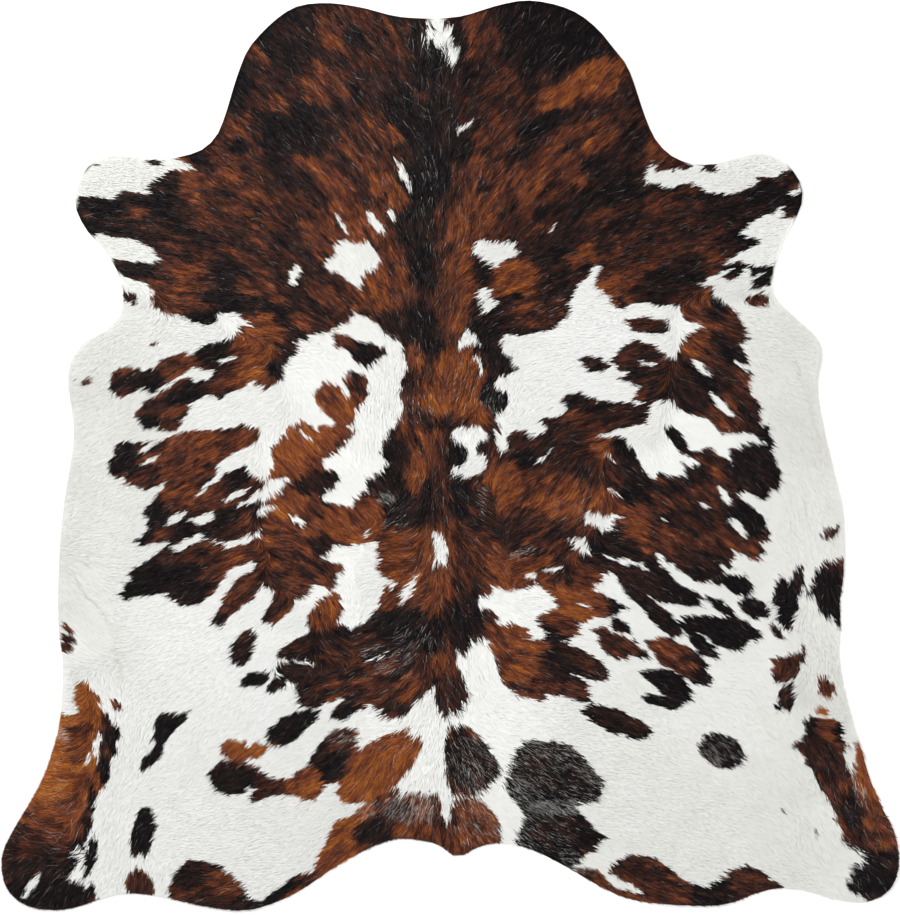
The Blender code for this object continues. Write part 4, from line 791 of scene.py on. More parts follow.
# %% Chart of the hair's headings
Guide = namedtuple("Guide", "across along heading reach")
GUIDES = [Guide(*row) for row in (
    # neck and nape
    (-40, 98, -42, 12), (-28, 98, -48, 10), (-16, 98, -54, 8), (-6, 98, -85, 6),
    (3, 98, -125, 5), (16, 98, -122, 8), (30, 98, -126, 10), (44, 96, -134, 12),
    (-44, 80, -42, 10), (-30, 80, -50, 10), (-16, 82, -54, 8), (-3, 86, -90, 6),
    (7, 88, -140, 5), (14, 82, -132, 8), (30, 80, -138, 10), (46, 80, -136, 10),
    # shoulders and fore legs
    (-80, 60, -8, 10), (-68, 58, -12, 8), (-54, 62, -28, 8), (-38, 64, -42, 8),
    (-24, 60, -57, 8), (-14, 60, -64, 6), (-7, 60, -88, 5), (2, 60, -98, 5),
    (14, 60, -125, 8), (28, 60, -136, 8), (44, 60, -150, 8), (60, 56, -164, 8),
    (76, 54, -168, 10), (-76, 44, -15, 8), (-62, 44, -12, 8), (-46, 46, -32, 8),
    (-30, 44, -43, 8), (-16, 42, -62, 6), (-7, 40, -90, 5), (1, 40, -98, 4),
    (6, 41, -152, 4), (13, 43, -158, 6), (26, 42, -155, 8), (40, 44, -162, 8),
    (54, 44, -165, 8), (70, 42, -158, 8), (-76, 34, -152, 7), (-62, 38, -4, 5),
    (-50, 37, -4, 5), (-60, 31, -178, 5), (-44, 31, -4, 4), (-34, 30, -25, 6),
    (-24, 30, -38, 6), (-14, 30, -60, 6), (18, 32, -162, 7), (30, 30, -172, 8),
    (44, 30, -174, 7), (58, 32, -20, 5), (70, 32, -15, 8), (82, 32, -6, 6),
    # back
    (-7, 24, -92, 5), (1, 25, -95, 4), (9, 23, -98, 5), (-9, 15, -85, 4),
    (-4, 13, -55, 3), (2, 15, -112, 4), (3, 9, -135, 3), (10, 8, -42, 4),
    (-9, 5, -65, 5), (-2, 2, -90, 4), (4, 4, -60, 3), (-9, -5, -108, 4),
    (-3, -7, -90, 3), (-10, -12, -150, 4), (0, -12, -65, 4), (5, -10, -30, 4),
    (7, -17, -25, 5), (-12, -22, -176, 5), (-3, -22, -100, 4), (3, -25, -60, 5),
    (10, -26, -40, 5), (-10, -32, -145, 6), (4, -36, -58, 5), (-2, -48, -78, 5),
    # left flank
    (-84, 16, -140, 10), (-72, 14, -147, 8), (-58, 18, -155, 8), (-47, 22, -160, 5),
    (-42, 12, -152, 4), (-37, 23, -15, 4), (-34, 15, -58, 5), (-28, 19, -45, 6),
    (-22, 18, -62, 5), (-16, 14, -95, 5), (-30, 8, -38, 4), (-18, 5, -75, 5),
    (-84, -8, -143, 10), (-68, -4, -150, 8), (-54, 2, -155, 6), (-50, -8, -152, 5),
    (-38, 0, -48, 5), (-30, 1, -43, 5), (-14, 1, -58, 4), (-38, -12, -44, 6),
    (-28, -14, -43, 6), (-18, -9, -42, 5), (-54, -18, -162, 6), (-41, -19, -2, 4),
    (-46, -25, -166, 4), (-40, -27, -8, 4), (-33, -24, -36, 5), (-24, -20, -12, 4),
    (-18, -20, -162, 4), (-27, -27, -42, 5), (-18, -27, -170, 5), (-35, -31, -8, 4),
    (-24, -35, -56, 4), (-84, -20, -165, 6), (-86, -31, 142, 6), (-85, -42, 138, 6),
    (-68, -28, -157, 8), (-56, -33, -146, 6), (-46, -36, -142, 6), (-37, -38, -142, 5),
    (-30, -38, -72, 3), (-18, -36, -140, 5), (-13, -46, -150, 5), (-19, -44, -168, 4),
    (-27, -45, -20, 5), (-37, -45, -165, 4), (-37, -50, -6, 4), (-34, -54, -150, 4),
    (-26, -54, -168, 5), (-18, -54, -163, 5), (-10, -54, -145, 5), (-50, -50, -146, 6),
    (-66, -48, -153, 10), (-82, -56, -60, 5),
    # right flank
    (84, 22, -30, 8), (84, 12, -42, 7), (70, 20, -33, 8), (58, 20, -28, 6),
    (46, 22, -172, 6), (34, 20, -166, 7), (22, 20, -152, 7), (15, 14, -98, 4),
    (16, 8, -150, 4), (84, 0, -48, 10), (70, 2, -38, 8), (58, 6, -30, 6),
    (44, 10, -165, 6), (30, 9, -155, 7), (33, 3, -177, 4), (5, -2, -155, 3),
    (11, -2, -115, 3), (18, -2, -146, 5), (25, -4, -134, 5), (32, -4, -113, 4),
    (41, -3, -42, 5), (17, -10, -140, 5), (25, -12, -142, 6), (33, -12, -122, 5),
    (44, -9, -30, 6), (58, -8, -36, 8), (72, -10, -42, 8), (84, -14, -58, 8),
    (19, -18, -155, 5), (28, -20, -142, 5), (40, -17, -12, 5), (56, -24, -31, 8),
    (70, -26, -40, 8), (17, -26, -175, 4), (24, -26, -150, 4), (32, -26, -12, 4),
    (40, -26, -25, 5), (20, -33, -10, 5), (31, -33, -15, 5), (86, -30, -70, 7),
    (79, -36, -165, 4), (11, -38, -42, 4), (22, -40, -8, 5), (31, -38, -12, 5),
    (44, -44, -33, 7), (58, -44, -30, 8), (72, -44, -30, 8),
    # rump, right
    (9, -48, -60, 4), (16, -48, -16, 5), (28, -50, -18, 6), (46, -58, -28, 8),
    (64, -58, -28, 8), (74, -56, -38, 6), (4, -56, -62, 4), (11, -60, -18, 5),
    (5, -66, -44, 4), (15, -66, -14, 5), (26, -63, -6, 6), (40, -69, -18, 7),
    (62, -71, -38, 7), (76, -70, -46, 7), (18, -72, -38, 5), (28, -75, -28, 6),
    (3, -75, -66, 4), (9, -75, -42, 4), (2, -87, -68, 4), (8, -87, -48, 5),
    (19, -84, -34, 5), (30, -88, -23, 7), (44, -80, -17, 7), (56, -80, -14, 7),
    (68, -81, -24, 7), (80, -79, -45, 6), (85, -89, -62, 5), (46, -90, -17, 6),
    (62, -90, -20, 8), (74, -90, -36, 6), (54, -98, -20, 7), (68, -99, -19, 6),
    (79, -100, -22, 5), (36, -97, -35, 5),
    # rump, left
    (-8, -60, -115, 5), (-14, -64, -162, 5), (-24, -62, -150, 6), (-38, -66, -142, 8),
    (-56, -68, -136, 9), (-16, -74, -120, 6), (-7, -73, -104, 5), (-6, -88, -102, 5),
    (-14, -86, -130, 6), (-26, -91, -142, 7), (-30, -82, -158, 6), (-46, -83, -164, 8),
    (-46, -93, -163, 7), (-61, -84, -166, 6), (-60, -94, -174, 6), (-70, -80, -152, 5),
    (-76, -64, -103, 6), (-76, -74, -112, 6), (-79, -88, -111, 6), (-72, -98, -100, 5),
    # shanks
    (-88, -57, -168, 4), (-91, -66, -172, 5), (-92, -75, 174, 6), (-94, -84, 171, 6),
    (-99, -90, 158, 5), (-98, -99, -130, 6), (-90, -92, 168, 4), (-89, -101, -112, 5),
    (-81, -68, -82, 4), (-84, -78, -106, 4), (-86, -88, -106, 4), (89, -64, -10, 4),
    (85, -70, -62, 4), (90, -76, -68, 6), (96, -74, -78, 5), (98, -84, -56, 6),
    (103, -89, -34, 5), (100, -96, -28, 5), (100, -102, -60, 5), (80, -54, -150, 5),
    (88, -50, -70, 6),
)]
print(len(GUIDES), "guides")

# %% [markdown]
# The longest hair grows on the nape, along the spine, on the rump and down the shanks. Some dark places are
# peppered with white hairs, so each of those places gets its share of them.

# %% Chart of long and peppered hair
Long = namedtuple("Long", "across along half_length half_width heading extra")
LONG_HAIR = [Long(*row) for row in (  # extra is the share by which the hair is longer there
    (-5, 90, 20, 10, 90, 0.9),
    (-4, 40, 40, 9, 90, 0.45),
    (-2, -20, 40, 10, 90, 0.5),
    (-2, -62, 34, 26, 90, 0.55),
    (0, 86, 50, 30, 0, 0.25),
    (-94, -82, 26, 12, 100, 0.8),
    (95, -84, 24, 12, 80, 0.8),
    (88, -32, 12, 8, 90, 0.4),
)]
Pepper = namedtuple("Pepper", "across along half_length half_width heading share")
PEPPERED = [Pepper(*row) for row in (
    (18, -75, 9, 7, 0, 0.22),
    (23, -68.8, 9, 2.6, -12, 0.42),
    (32.6, -74.6, 5, 2.8, -50, 0.45),
    (15.6, -78.6, 4, 2.8, 90, 0.5),
    (16.6, -87, 5, 2.6, 90, 0.45),
    (28.6, -95, 6, 2.4, -30, 0.32),
    (25, -82.6, 11, 2.2, 0, 0.7),
    (26, -76, 12, 8, 0, 0.16),
    (22, -89, 9, 6, 0, 0.14),
    (64, -69.8, 6, 4.4, -20, 0.16),
    (26, 35.6, 5, 3, 0, 0.08),
    (-8, -43, 6, 5, 50, 0.13),
    (-12, -48, 6, 2.4, 30, 0.26),
    (-17, -45.6, 4, 1.2, 20, 0.32),
    (60.4, -71, 3.6, 3, -20, 0.5),
    (4, -71, 9, 6, 90, 0.24),
    (6, -86, 7, 6, 90, 0.18),
    (-9, -82, 7, 4, 0, 0.5),
    (-18, -82.6, 5, 1.8, 20, 0.4),
    (-25.6, -66, 3.6, 2, 0, 0.3),
    (-15.6, -9.4, 2.6, 1.8, 0, 0.5),
    (-5, 68, 7, 4, 90, 0.03),
    (-10, 12, 4, 6, 90, 0.14),
    (10, 14, 4.4, 3, 90, 0.2),
    (3, 18, 7, 4, 90, 0.06),
    (6.6, -10, 5, 1.4, 90, 0.3),
    (18, -22.6, 4, 1.6, 20, 0.4),
    (30, -12, 6, 3, 0, 0.08),
    (-12, -15, 4, 4, 0, 0.14),
    (-90.6, -65.4, 3, 1.6, -50, 0.6),
    (96, -77, 5, 2, -70, 0.3),
)]
print(len(LONG_HAIR), "places with long hair,", len(PEPPERED), "peppered ones")

# %% [markdown]
# White hair isn't one white either. It is brightest in the middle of the back and a shade creamier towards the
# belly, where the coat is thin and the leather shows through; the same chart paints shade too, darker towards
# the lower right, where less light falls. Thin creases in the belly skin catch a little shadow, painted in here.

# %% Chart of cream and painted shade, and of creases
Shade = namedtuple("Shade", "across along reach cream")
SHADES = [Shade(*row) for row in (  # cream is 0 for the cleanest white and 1 for the deepest cream; it also carries painted shade
    (-20, 46, 14, 0.5), (10, 46, 14, 0.3), (34, 24, 16, 0.1), (-40, 10, 16, 0.25),
    (-24, -2, 12, 0.2), (-22, -30, 12, 0.15), (16, -35, 12, 0.15), (58, 4, 12, 0.15),
    (-82, 66, 14, 0.66), (-74, 48, 10, 0.58), (72, 67, 12, 0.3), (76, 50, 10, 0.2),
    (-66, 34, 12, 0.42), (-84, 24, 12, 0.58), (-83, 0, 14, 0.55), (-84, -24, 12, 0.52),
    (-91, 16, 8, 0.8), (-91, -4, 8, 0.8), (-92, -24, 8, 0.85), (-91, -38, 7, 0.7),
    (-84, -48, 12, 0.42), (-62, -42, 14, 0.12), (-50, -56, 14, 0.16), (-76, -70, 12, 0.28),
    (-64, -84, 14, 0.25), (-40, -90, 14, 0.3), (-4, -66, 12, 0.2), (14, -62, 12, 0.24),
    (84, 26, 12, 0.7), (87, 6, 14, 0.8), (86, -12, 12, 0.5), (84, -24, 10, 0.5),
    (92, 0, 7, 0.9), (92, -14, 7, 0.75), (91, -50, 7, 0.7), (93, -60, 6, 0.8),
    (74, -44, 12, 0.4), (86, -46, 10, 0.55), (46, -68, 14, 0.48), (66, -58, 14, 0.4),
    (44, -84, 14, 0.5), (62, -88, 14, 0.52), (78, -82, 12, 0.6), (84, -102, 12, 0.65),
)]
Crease = namedtuple("Crease", "across along half_length half_width heading depth")
CREASES = [Crease(*row) for row in (
    (-85, -34, 12, 0.35, -52, 0.6),
    (-78.5, -47, 9, 0.35, -72, 0.6),
    (-87, -31, 7, 0.3, -60, 0.45),
    (-86.4, -25.6, 2.4, 0.6, -40, 0.5),
    (-80, -50, 6, 0.3, -50, 0.4),
    (83, 18, 8, 0.3, -70, 0.4),
    (86, 6, 9, 0.3, -78, 0.4),
    (84, -12, 7, 0.3, -80, 0.35),
)]
print(len(SHADES), "shades of white,", len(CREASES), "creases")

# %% [markdown]
# ## Reading the chart
# A few helpers turn the chart into numbers at any point of the hide: whether the point lies in an outline,
# how deep it is in an ellipse, and smooth random fields that are the same on every run.

# %% Helpers that read the chart
def inside(outline, points):
    """True for the points within a closed outline, by counting the sides to their right."""
    found = np.zeros(len(points), bool)
    x, y = points.T
    ends = np.asarray(outline, float)
    for (x1, y1), (x2, y2) in zip(ends, np.roll(ends, -1, axis=0)):
        if y1 == y2:
            continue
        crossing = (y1 <= y) != (y2 <= y)
        found ^= crossing & (x < x1 + (y - y1) * (x2 - x1) / (y2 - y1))
    return found


def depth_in(row, points):
    """1 in the middle of a row's ellipse, 0 on its rim and negative outside."""
    turn = math.radians(row.heading)
    x = points[:, 0] - row.across * CM
    y = points[:, 1] - row.along * CM
    length = (x * math.cos(turn) + y * math.sin(turn)) / (row.half_length * CM)
    width = (y * math.cos(turn) - x * math.sin(turn)) / (row.half_width * CM)
    return 1 - length**2 - width**2


LATTICE = 256  # random numbers along a side of each field, before it repeats
STREAK_STEPS = 7
STREAK_CONTRAST = 2.2  # drawing a field out makes it weaker, and this makes up for it


def unevenness(points, size, seed):
    """A smooth random field from -1 to 1 whose bumps are about `size` metres across."""
    lattice = np.random.default_rng(seed).uniform(-1, 1, (LATTICE, LATTICE))
    at = points / size
    cell = np.floor(at).astype(int)
    part = at - cell
    part = part * part * (3 - 2 * part)
    (i, j), (next_i, next_j), (u, v) = (cell % LATTICE).T, ((cell + 1) % LATTICE).T, part.T
    near = lattice[i, j] * (1 - u) + lattice[next_i, j] * u
    far = lattice[i, next_j] * (1 - u) + lattice[next_i, next_j] * u
    return near * (1 - v) + far * v


def wander(points, size, reach, seed):
    """A smooth random shift of up to `reach` across and along. It takes this seed and the next."""
    return np.column_stack([unevenness(points, size, seed), unevenness(points, size, seed + 1)]) * reach


def way(angle):
    """Each angle as a unit vector."""
    return np.column_stack([np.cos(angle), np.sin(angle)])


def streaks(points, heading, size, length, seed):
    """The uneven field drawn out along the hair, so that its bumps become streaks."""
    onward = way(heading)
    steps = np.linspace(-0.5, 0.5, STREAK_STEPS) * length
    drawn = sum(unevenness(points + step * onward, size, seed) for step in steps)
    return np.clip(drawn / STREAK_STEPS * STREAK_CONTRAST, -1, 1)


# %% [markdown]
# The heading at a point is the average of the guides around it, the nearer the stronger. Averaging unit
# vectors instead of angles makes the turn from one guide to the next smooth, also across a parting.

# %% Headings, patches and tones at any point
COARSE = 3 * CM  # spacing of the grid on which headings and tones are worked out before they are read off
GRID_REACH = 1.2  # metres from the middle of the hide to the sides of every grid
OWN_PLACE = 0.05  # the smaller, the more fully a row rules its own place
PATCH_FADE = 0.3  # how softly a blotch or bar begins, as a share of its depth
COMBED = 0.55  # how far a blotch's rim is drawn out into streaks
MOST_BRINDLED = 0.55  # the tone that shows the brindle most; black and tan show it least


def square(step, over=0):
    """The nodes of a square grid over the whole hide, going on for `over` past its far sides."""
    line = np.arange(-GRID_REACH, GRID_REACH + over, step)
    return np.stack(np.meshgrid(line, line, indexing="ij"), axis=-1)


def weights(rows, points, power):
    """How strongly each row of a chart rules each point."""
    places = np.array([(row.across, row.along) for row in rows]) * CM
    reach = np.array([row.reach for row in rows]) * CM
    away = np.linalg.norm(points[:, None] - places[None], axis=2) / reach
    return 1 / (OWN_PLACE + away**power)


def averaged(rows, values, power):
    """One value of each row of a chart, averaged at the nodes of the coarse grid."""
    share = weights(rows, grid_points, power)
    return (share @ np.array(values)) / share.sum(axis=1)


def read_grid(values, points, step=COARSE):
    """Values worked out at the nodes of a grid, read at any points between them."""
    side = math.isqrt(len(values))
    table = values.reshape(side, side, -1)
    at = np.clip((points + GRID_REACH) / step, 0, side - 1.001)
    cell = at.astype(int)
    (i, j), (u, v) = cell.T, (at - cell).T[:, :, None]
    near = table[i, j] * (1 - u) + table[i + 1, j] * u
    far = table[i, j + 1] * (1 - u) + table[i + 1, j + 1] * u
    return near * (1 - v) + far * v


grid_points = square(COARSE, over=COARSE).reshape(-1, 2)
way_grid = weights(GUIDES, grid_points, 3.5) @ way(np.radians([row.heading for row in GUIDES]))
tone_grid = averaged(TONES, [row.tone for row in TONES], 4)
cream_and_shade_grid = averaged(SHADES, [row.cream for row in SHADES], 3)


def heading_at(points):
    """The way the hair points, in radians."""
    across, along = read_grid(way_grid, points).T
    return np.arctan2(along, across)


def coloured_at(points):
    """True where the hair is black, brown or tan, and False where it is white."""
    ragged = wander(points, size=1.7 * CM, reach=0.45 * CM, seed=11)
    ragged += wander(points, size=0.6 * CM, reach=0.25 * CM, seed=13)
    at = points + ragged
    coloured = np.zeros(len(points), bool)
    for outlines, kind in ((COLOURED, True), (CLEARINGS, False)):
        for outline in outlines.values():
            corners = np.array(outline) * CM
            near = np.all((at > corners.min(axis=0)) & (at < corners.max(axis=0)), axis=1)
            places = np.flatnonzero(near)
            coloured[places[inside(corners, at[places])]] = kind
    for row in SPOTS:
        coloured[depth_in(row, at) > 0] = bool(row.kind)
    return coloured


def tone_at(points, heading):
    """0 for golden tan to 1 for black, with the brindle's streaks and blotches."""
    tone = read_grid(tone_grid, points)[:, 0]
    shifted = points + wander(points, size=2 * CM, reach=0.7 * CM, seed=15)
    combed = streaks(points, heading, size=0.5 * CM, length=3 * CM, seed=25) * COMBED
    for row in PATCHES:
        aside = np.abs(points - np.array([row.across, row.along]) * CM).max(axis=1)
        close = np.flatnonzero(aside < (row.half_length * 1.4 + 0.8) * CM)  # no blotch reaches further
        share = (depth_in(row, shifted[close]) + combed[close] + PATCH_FADE) / (2 * PATCH_FADE)
        tone[close] += (row.tone - tone[close]) * np.clip(share, 0, 1)
    brindle = unevenness(points, size=3.2 * CM, seed=21) * 0.08
    brindle += unevenness(points, size=1.4 * CM, seed=22) * 0.14
    brindle += streaks(points, heading, size=0.7 * CM, length=4 * CM, seed=23) * 0.22
    brindle += streaks(points, heading, size=0.3 * CM, length=2.4 * CM, seed=24) * 0.18
    middling = 1 - np.abs(tone - MOST_BRINDLED) * 1.3
    return np.clip(tone + brindle * middling, 0, 1)


def cream_and_shade_at(points):
    """0 for clean white hair to 1 for cream and painted shade, with soft cloudiness and the creases' thin painted
    shadows.
    """
    cream = read_grid(cream_and_shade_grid, points)[:, 0] + unevenness(points, size=4 * CM, seed=27) * 0.06
    shifted = points + wander(points, size=3 * CM, reach=0.5 * CM, seed=28)
    for row in CREASES:
        cream += row.depth * np.clip(depth_in(row, shifted), 0, 1)
    return np.clip(cream, 0, 1)


def shade_at(points, heading):
    """The tone of coloured places, and the cream and painted shade of white ones, in one number."""
    return np.where(coloured_at(points), tone_at(points, heading), cream_and_shade_at(points))


# %% [markdown]
# ## The lie of the land
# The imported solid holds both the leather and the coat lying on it. Rays shot down and up through it on a fine
# grid give the ground that every hair stands on: the leather's own top, and how high the coat may lie over it.

# %% Leather and coat heights, and the distance to the cut edge
LEATHER = 2 * MM
CUT_EDGE = 2.4 * MM  # height of the solid at its rim
FINE = 1.25 * CM  # spacing of the grid on which the heights are measured
PAST_RIM = 3  # nodes beside the hide that take its heights too, for the hairs along the rim
ABOVE, BELOW = 1.0, -1.0  # where the rays start, in metres, well clear of the hide
FACING_UP = 0.5  # the top's faces have a normal that rises more than this
SAME_PLACE = 0.02 * MM

fine_points = square(FINE, over=FINE).reshape(-1, 2)
packed = bmesh.new()
packed.from_mesh(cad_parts["hide"].data)
bmesh.ops.remove_doubles(packed, verts=packed.verts, dist=SAME_PLACE)
packed.normal_update()
solid = BVHTree.FromBMesh(packed)


def ground_at(x, y):
    """The underside and the top of the solid at a place, or nothing beside it."""
    under = solid.ray_cast(Vector((x, y, BELOW)), Vector((0, 0, 1)))[0]
    over = solid.ray_cast(Vector((x, y, ABOVE)), Vector((0, 0, -1)))[0]
    return (under.z, over.z) if under and over else (np.nan, np.nan)


def spread(values):
    """Empty places of the fine grid take the average of the filled ones around them."""
    side = math.isqrt(len(values))
    table = values.reshape(side, side)
    for _ in range(PAST_RIM):
        wide = np.pad(table, 1, constant_values=np.nan)
        around = np.stack([wide[:-2, 1:-1], wide[2:, 1:-1], wide[1:-1, :-2], wide[1:-1, 2:]])
        filled = np.isfinite(around).sum(axis=0)
        average = np.nansum(around, axis=0) / np.maximum(filled, 1)
        table = np.where(np.isnan(table) & (filled > 0), average, table)
    return np.nan_to_num(table).reshape(-1)


def rim_of(shape):
    """The places around the hide in order, along the edges where its top ends."""
    following = {}
    for face in shape.faces:
        for side in face.loops:
            if face.normal.z > FACING_UP >= side.link_loop_radial_next.face.normal.z:
                following[side.vert] = side.link_loop_next.vert
    walk = [next(iter(following))]
    while following[walk[-1]] is not walk[0]:
        walk.append(following[walk[-1]])
    return np.array([corner.co.xy for corner in walk])


def rim_distance(points, rim):
    """Metres from each point to the outline, positive on the hide and negative beside it."""
    nearest = np.full(len(points), np.inf)
    for start, end in zip(rim, np.roll(rim, -1, axis=0)):
        side = end - start
        share = np.clip(((points - start) @ side) / (side @ side), 0, 1)
        nearest = np.minimum(nearest, np.linalg.norm(points - start - share[:, None] * side, axis=1))
    return np.where(inside(rim, points), nearest, -nearest)


def read_fine(values, points):
    """Values on the fine grid, read at any points between its nodes."""
    return read_grid(values, points, FINE)[:, 0]


rim = rim_of(packed)
packed.free()
ground = np.array([ground_at(x, y) for x, y in fine_points])
under_grid = spread(ground[:, 0])
leather_grid = under_grid + LEATHER
coat_grid = np.maximum(spread(ground[:, 1]) - leather_grid, CUT_EDGE - LEATHER)
edge_grid = rim_distance(fine_points, rim)
area = abs(np.cross(rim, np.roll(rim, -1, axis=0)).sum()) / 2
print("rim of", len(rim), "corners around", round(area, 3), "m2")
print("coat up to", round(coat_grid.max() / MM, 1), "mm high")

# %% [markdown]
# ## The leather
# Under the coat is one sheet of tanned leather, 2 mm thick, cut along the rim and lying in the same folds as
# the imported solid. Its top has closely spaced corners, because they carry the markings that show on the skin
# between the hairs. The underside needs only enough corners for the folds.

# %% The leather sheet
TOP_GRAIN = 8 * MM  # distance between the corners of the top
UNDER_GRAIN = 25 * MM
SHARP = math.radians(40)  # edges that turn by more than this stay sharp
WITHIN, TOLERANCE = 1, 1e-7  # how the triangles are made: only within the sides, corners this close being one


def rim_distance_near(points):
    """The distance to the cut edge: exact near the edge, and read off the grid further in."""
    found = read_fine(edge_grid, points)
    close = np.flatnonzero(np.abs(found) < 2 * FINE)
    found[close] = rim_distance(points[close], rim)
    return found


def cut_out(grain):
    """Places and triangles that fill the rim. The rim's own corners come first."""
    places = square(grain)
    places[::2, :, 1] += grain / 2
    places = places.reshape(-1, 2)
    places = np.concatenate([rim, places[rim_distance_near(places) > grain / 2]])
    sides = [(corner, (corner + 1) % len(rim)) for corner in range(len(rim))]
    made = delaunay_2d_cdt([Vector(place) for place in places], sides, [], WITHIN, TOLERANCE)
    return np.array(made[0]), np.array(made[2])


def carry(mesh, name, values):
    """A number at each corner of a mesh, which its material reads by name."""
    mesh.attributes.new(name, "FLOAT", "POINT").data.foreach_set("value", np.asarray(values, np.float32))


def leather_sheet():
    """The top, the underside and the cut edge between them, as one closed mesh."""
    top, top_faces = cut_out(TOP_GRAIN)
    under, under_faces = cut_out(UNDER_GRAIN)
    corners = np.concatenate([
        np.column_stack([top, read_fine(leather_grid, top)]),
        np.column_stack([under, read_fine(under_grid, under)]),
    ])
    one = np.arange(len(rim))
    two = np.roll(one, -1)
    edge_faces = np.column_stack([one + len(top), two + len(top), two, one])
    faces = [*top_faces.tolist(), *(under_faces[:, ::-1] + len(top)).tolist(), *edge_faces.tolist()]
    mesh = bpy.data.meshes.new("hide_leather")
    mesh.from_pydata(corners.tolist(), [], faces)
    sheet = bpy.data.objects.new("hide_leather", mesh)
    bpy.context.scene.collection.objects.link(sheet)
    bpy.ops.object.select_all(action="DESELECT")
    sheet.select_set(True)
    bpy.context.view_layer.objects.active = sheet
    bpy.ops.object.shade_smooth_by_angle(angle=SHARP)
    places, heights = corners[:, :2], corners[:, 2]
    carry(mesh, "coloured", coloured_at(places))
    carry(mesh, "tone", shade_at(places, heading_at(places)))
    print("leather:", len(top_faces), "faces above and", len(under_faces), "below")
    print("its folds rise to", round(heights.max() / MM, 2), "mm")
    return sheet


leather = leather_sheet()

# %% [markdown]
# ## The coat
# A hair card is the usual trick for fur: a narrow blade, pointed at both ends, that stands for a small lock
# of hairs. Here a blade is two triangles with a bend between them. Hundreds of thousands are set out in
# arrays, each at its root on the leather, turned the way the hair grows there and lying down to the coat's
# height.

# %% Where the hairs stand
HAIRS = 435_000
INSET = 1.2 * MM  # the outermost roots stand this far in from the cut edge
luck = np.random.default_rng(7)


def set_out(count):
    """Roots on a grid whose every place is shifted at random, which leaves no rows and few gaps."""
    step = math.sqrt(area / count)
    places = square(step).reshape(-1, 2)
    places += luck.uniform(-0.5, 0.5, places.shape) * step
    return places[rim_distance_near(places) > INSET]


roots = set_out(HAIRS)
print(len(roots), "hairs,", round(len(roots) / area * CM**2, 1), "on each square centimetre")

# %% [markdown]
# Every hair gets its own length, width, turn and colour. Neighbours lean together into a lock with one tip,
# as short fur does when it has been brushed. Long hair on the back curls a little, and the belly's lies
# almost straight.

# %% How each hair lies
HAIR_LENGTH = 20 * MM
HAIR_WIDTH = 1.8 * MM
WHITE_WIDTH = 2 * MM  # white hair lies flatter and closer
LENGTHS = (0.75, 1.2)  # from the shortest to the longest, as shares of the usual length
WIDTHS = (0.75, 1.25)
BEND_AT = 0.38  # share of its length at which a blade is widest and bends
SEEN_AT = 0.5  # the chart shows what is seen, and a hair is seen this far along itself, beyond its root
TONGUE = 10 * MM  # how far tongues of one colour reach into the next, where the hair runs across the border
PAST_EDGE = 2.6 * MM  # how far the tips may hang over the cut edge
LOCK = 7 * MM  # hairs about this close together make a lock
LOCK_SAY = 0.38  # how much of a hair's own lightness it shares with its lock; that shared part is partly random colour and partly painted shade and light that sets locks apart
DARK_CURL, WHITE_CURL, LONG_CURL = 5, 2, 22  # degrees, the last for hair of twice the usual length
SWAY = 6  # degrees by which whole stretches of hair turn aside
ODD_TURN = 5  # degrees, usual turn of one hair against its neighbours
ODD_TONE = 0.07  # usual difference of one hair's tone from its neighbours'
PALE = (0.35, 0.9)  # how much colour the white hairs among the coloured ones take from their neighbours
STRAY = 0.006  # share of hairs painted pale as highlights that catch the light on top of the coloured coat
STRAY_HIGHLIGHT_COLOUR = (0.6, 0.85)
STRAY_IN_LONG = 6  # how many times more of them there are in long hair
STRAY_LENGTH, STRAY_BEND = 1.4, 3  # against the hairs around
lock_table = np.random.default_rng(41).uniform(0, 1, (LATTICE, LATTICE, 3))


def lock_of(points):
    """The middle of each hair's lock, and a random number that the whole lock shares."""
    drift = wander(points, size=1.3 * CM, reach=0.5, seed=42)  # in widths of a lock
    cell = np.floor(points / LOCK + drift).astype(int)
    own = lock_table[tuple((cell % LATTICE).T)]
    return (cell + own[:, :2] - drift) * LOCK, own[:, 2]


def strongest(rows, values, points, steepness):
    """At each point the highest value of the ellipses it lies in, fading out towards their rims."""
    found = np.zeros(len(points))
    for row, value in zip(rows, values):
        found = np.maximum(found, value * np.clip(depth_in(row, points) * steepness, 0, 1))
    return found


count = len(roots)
heading = heading_at(roots)
extra = strongest(LONG_HAIR, [row.extra for row in LONG_HAIR], roots, 1.5)
peppering = strongest(PEPPERED, [row.share for row in PEPPERED], roots, 2)
lock, lock_own = lock_of(roots)
tongues = streaks(roots, heading, size=0.35 * CM, length=3 * CM, seed=44) * TONGUE
ahead = HAIR_LENGTH * SEEN_AT * (1 + extra) + tongues
seen = roots + way(heading) * ahead[:, None]
dark = coloured_at(seen)
tone = shade_at(seen, heading)

curl = np.where(dark, DARK_CURL, WHITE_CURL) + LONG_CURL * extra
heading += np.radians(unevenness(roots, 3.4 * CM, 31) * SWAY + unevenness(roots, 1.1 * CM, 32) * curl)
heading += np.radians(luck.normal(0, ODD_TURN, count))
bend = np.radians(luck.normal(0, ODD_TURN, count) + unevenness(roots, 0.8 * CM, 33) * curl)
length = HAIR_LENGTH * (1 + extra) * luck.uniform(*LENGTHS, count) * (0.9 + 0.2 * lock_own)
width = np.where(dark, HAIR_WIDTH, WHITE_WIDTH) * (1 + 0.3 * extra) * luck.uniform(*WIDTHS, count)
strand = (1 - LOCK_SAY) * luck.random(count) + LOCK_SAY * lock_own
tone += np.where(dark, luck.normal(0, ODD_TONE, count) + (lock_own - 0.5) * 2 * ODD_TONE, 0)
tone = np.clip(tone, 0, 1)
roll_share = np.where(dark, 1, 0.32)

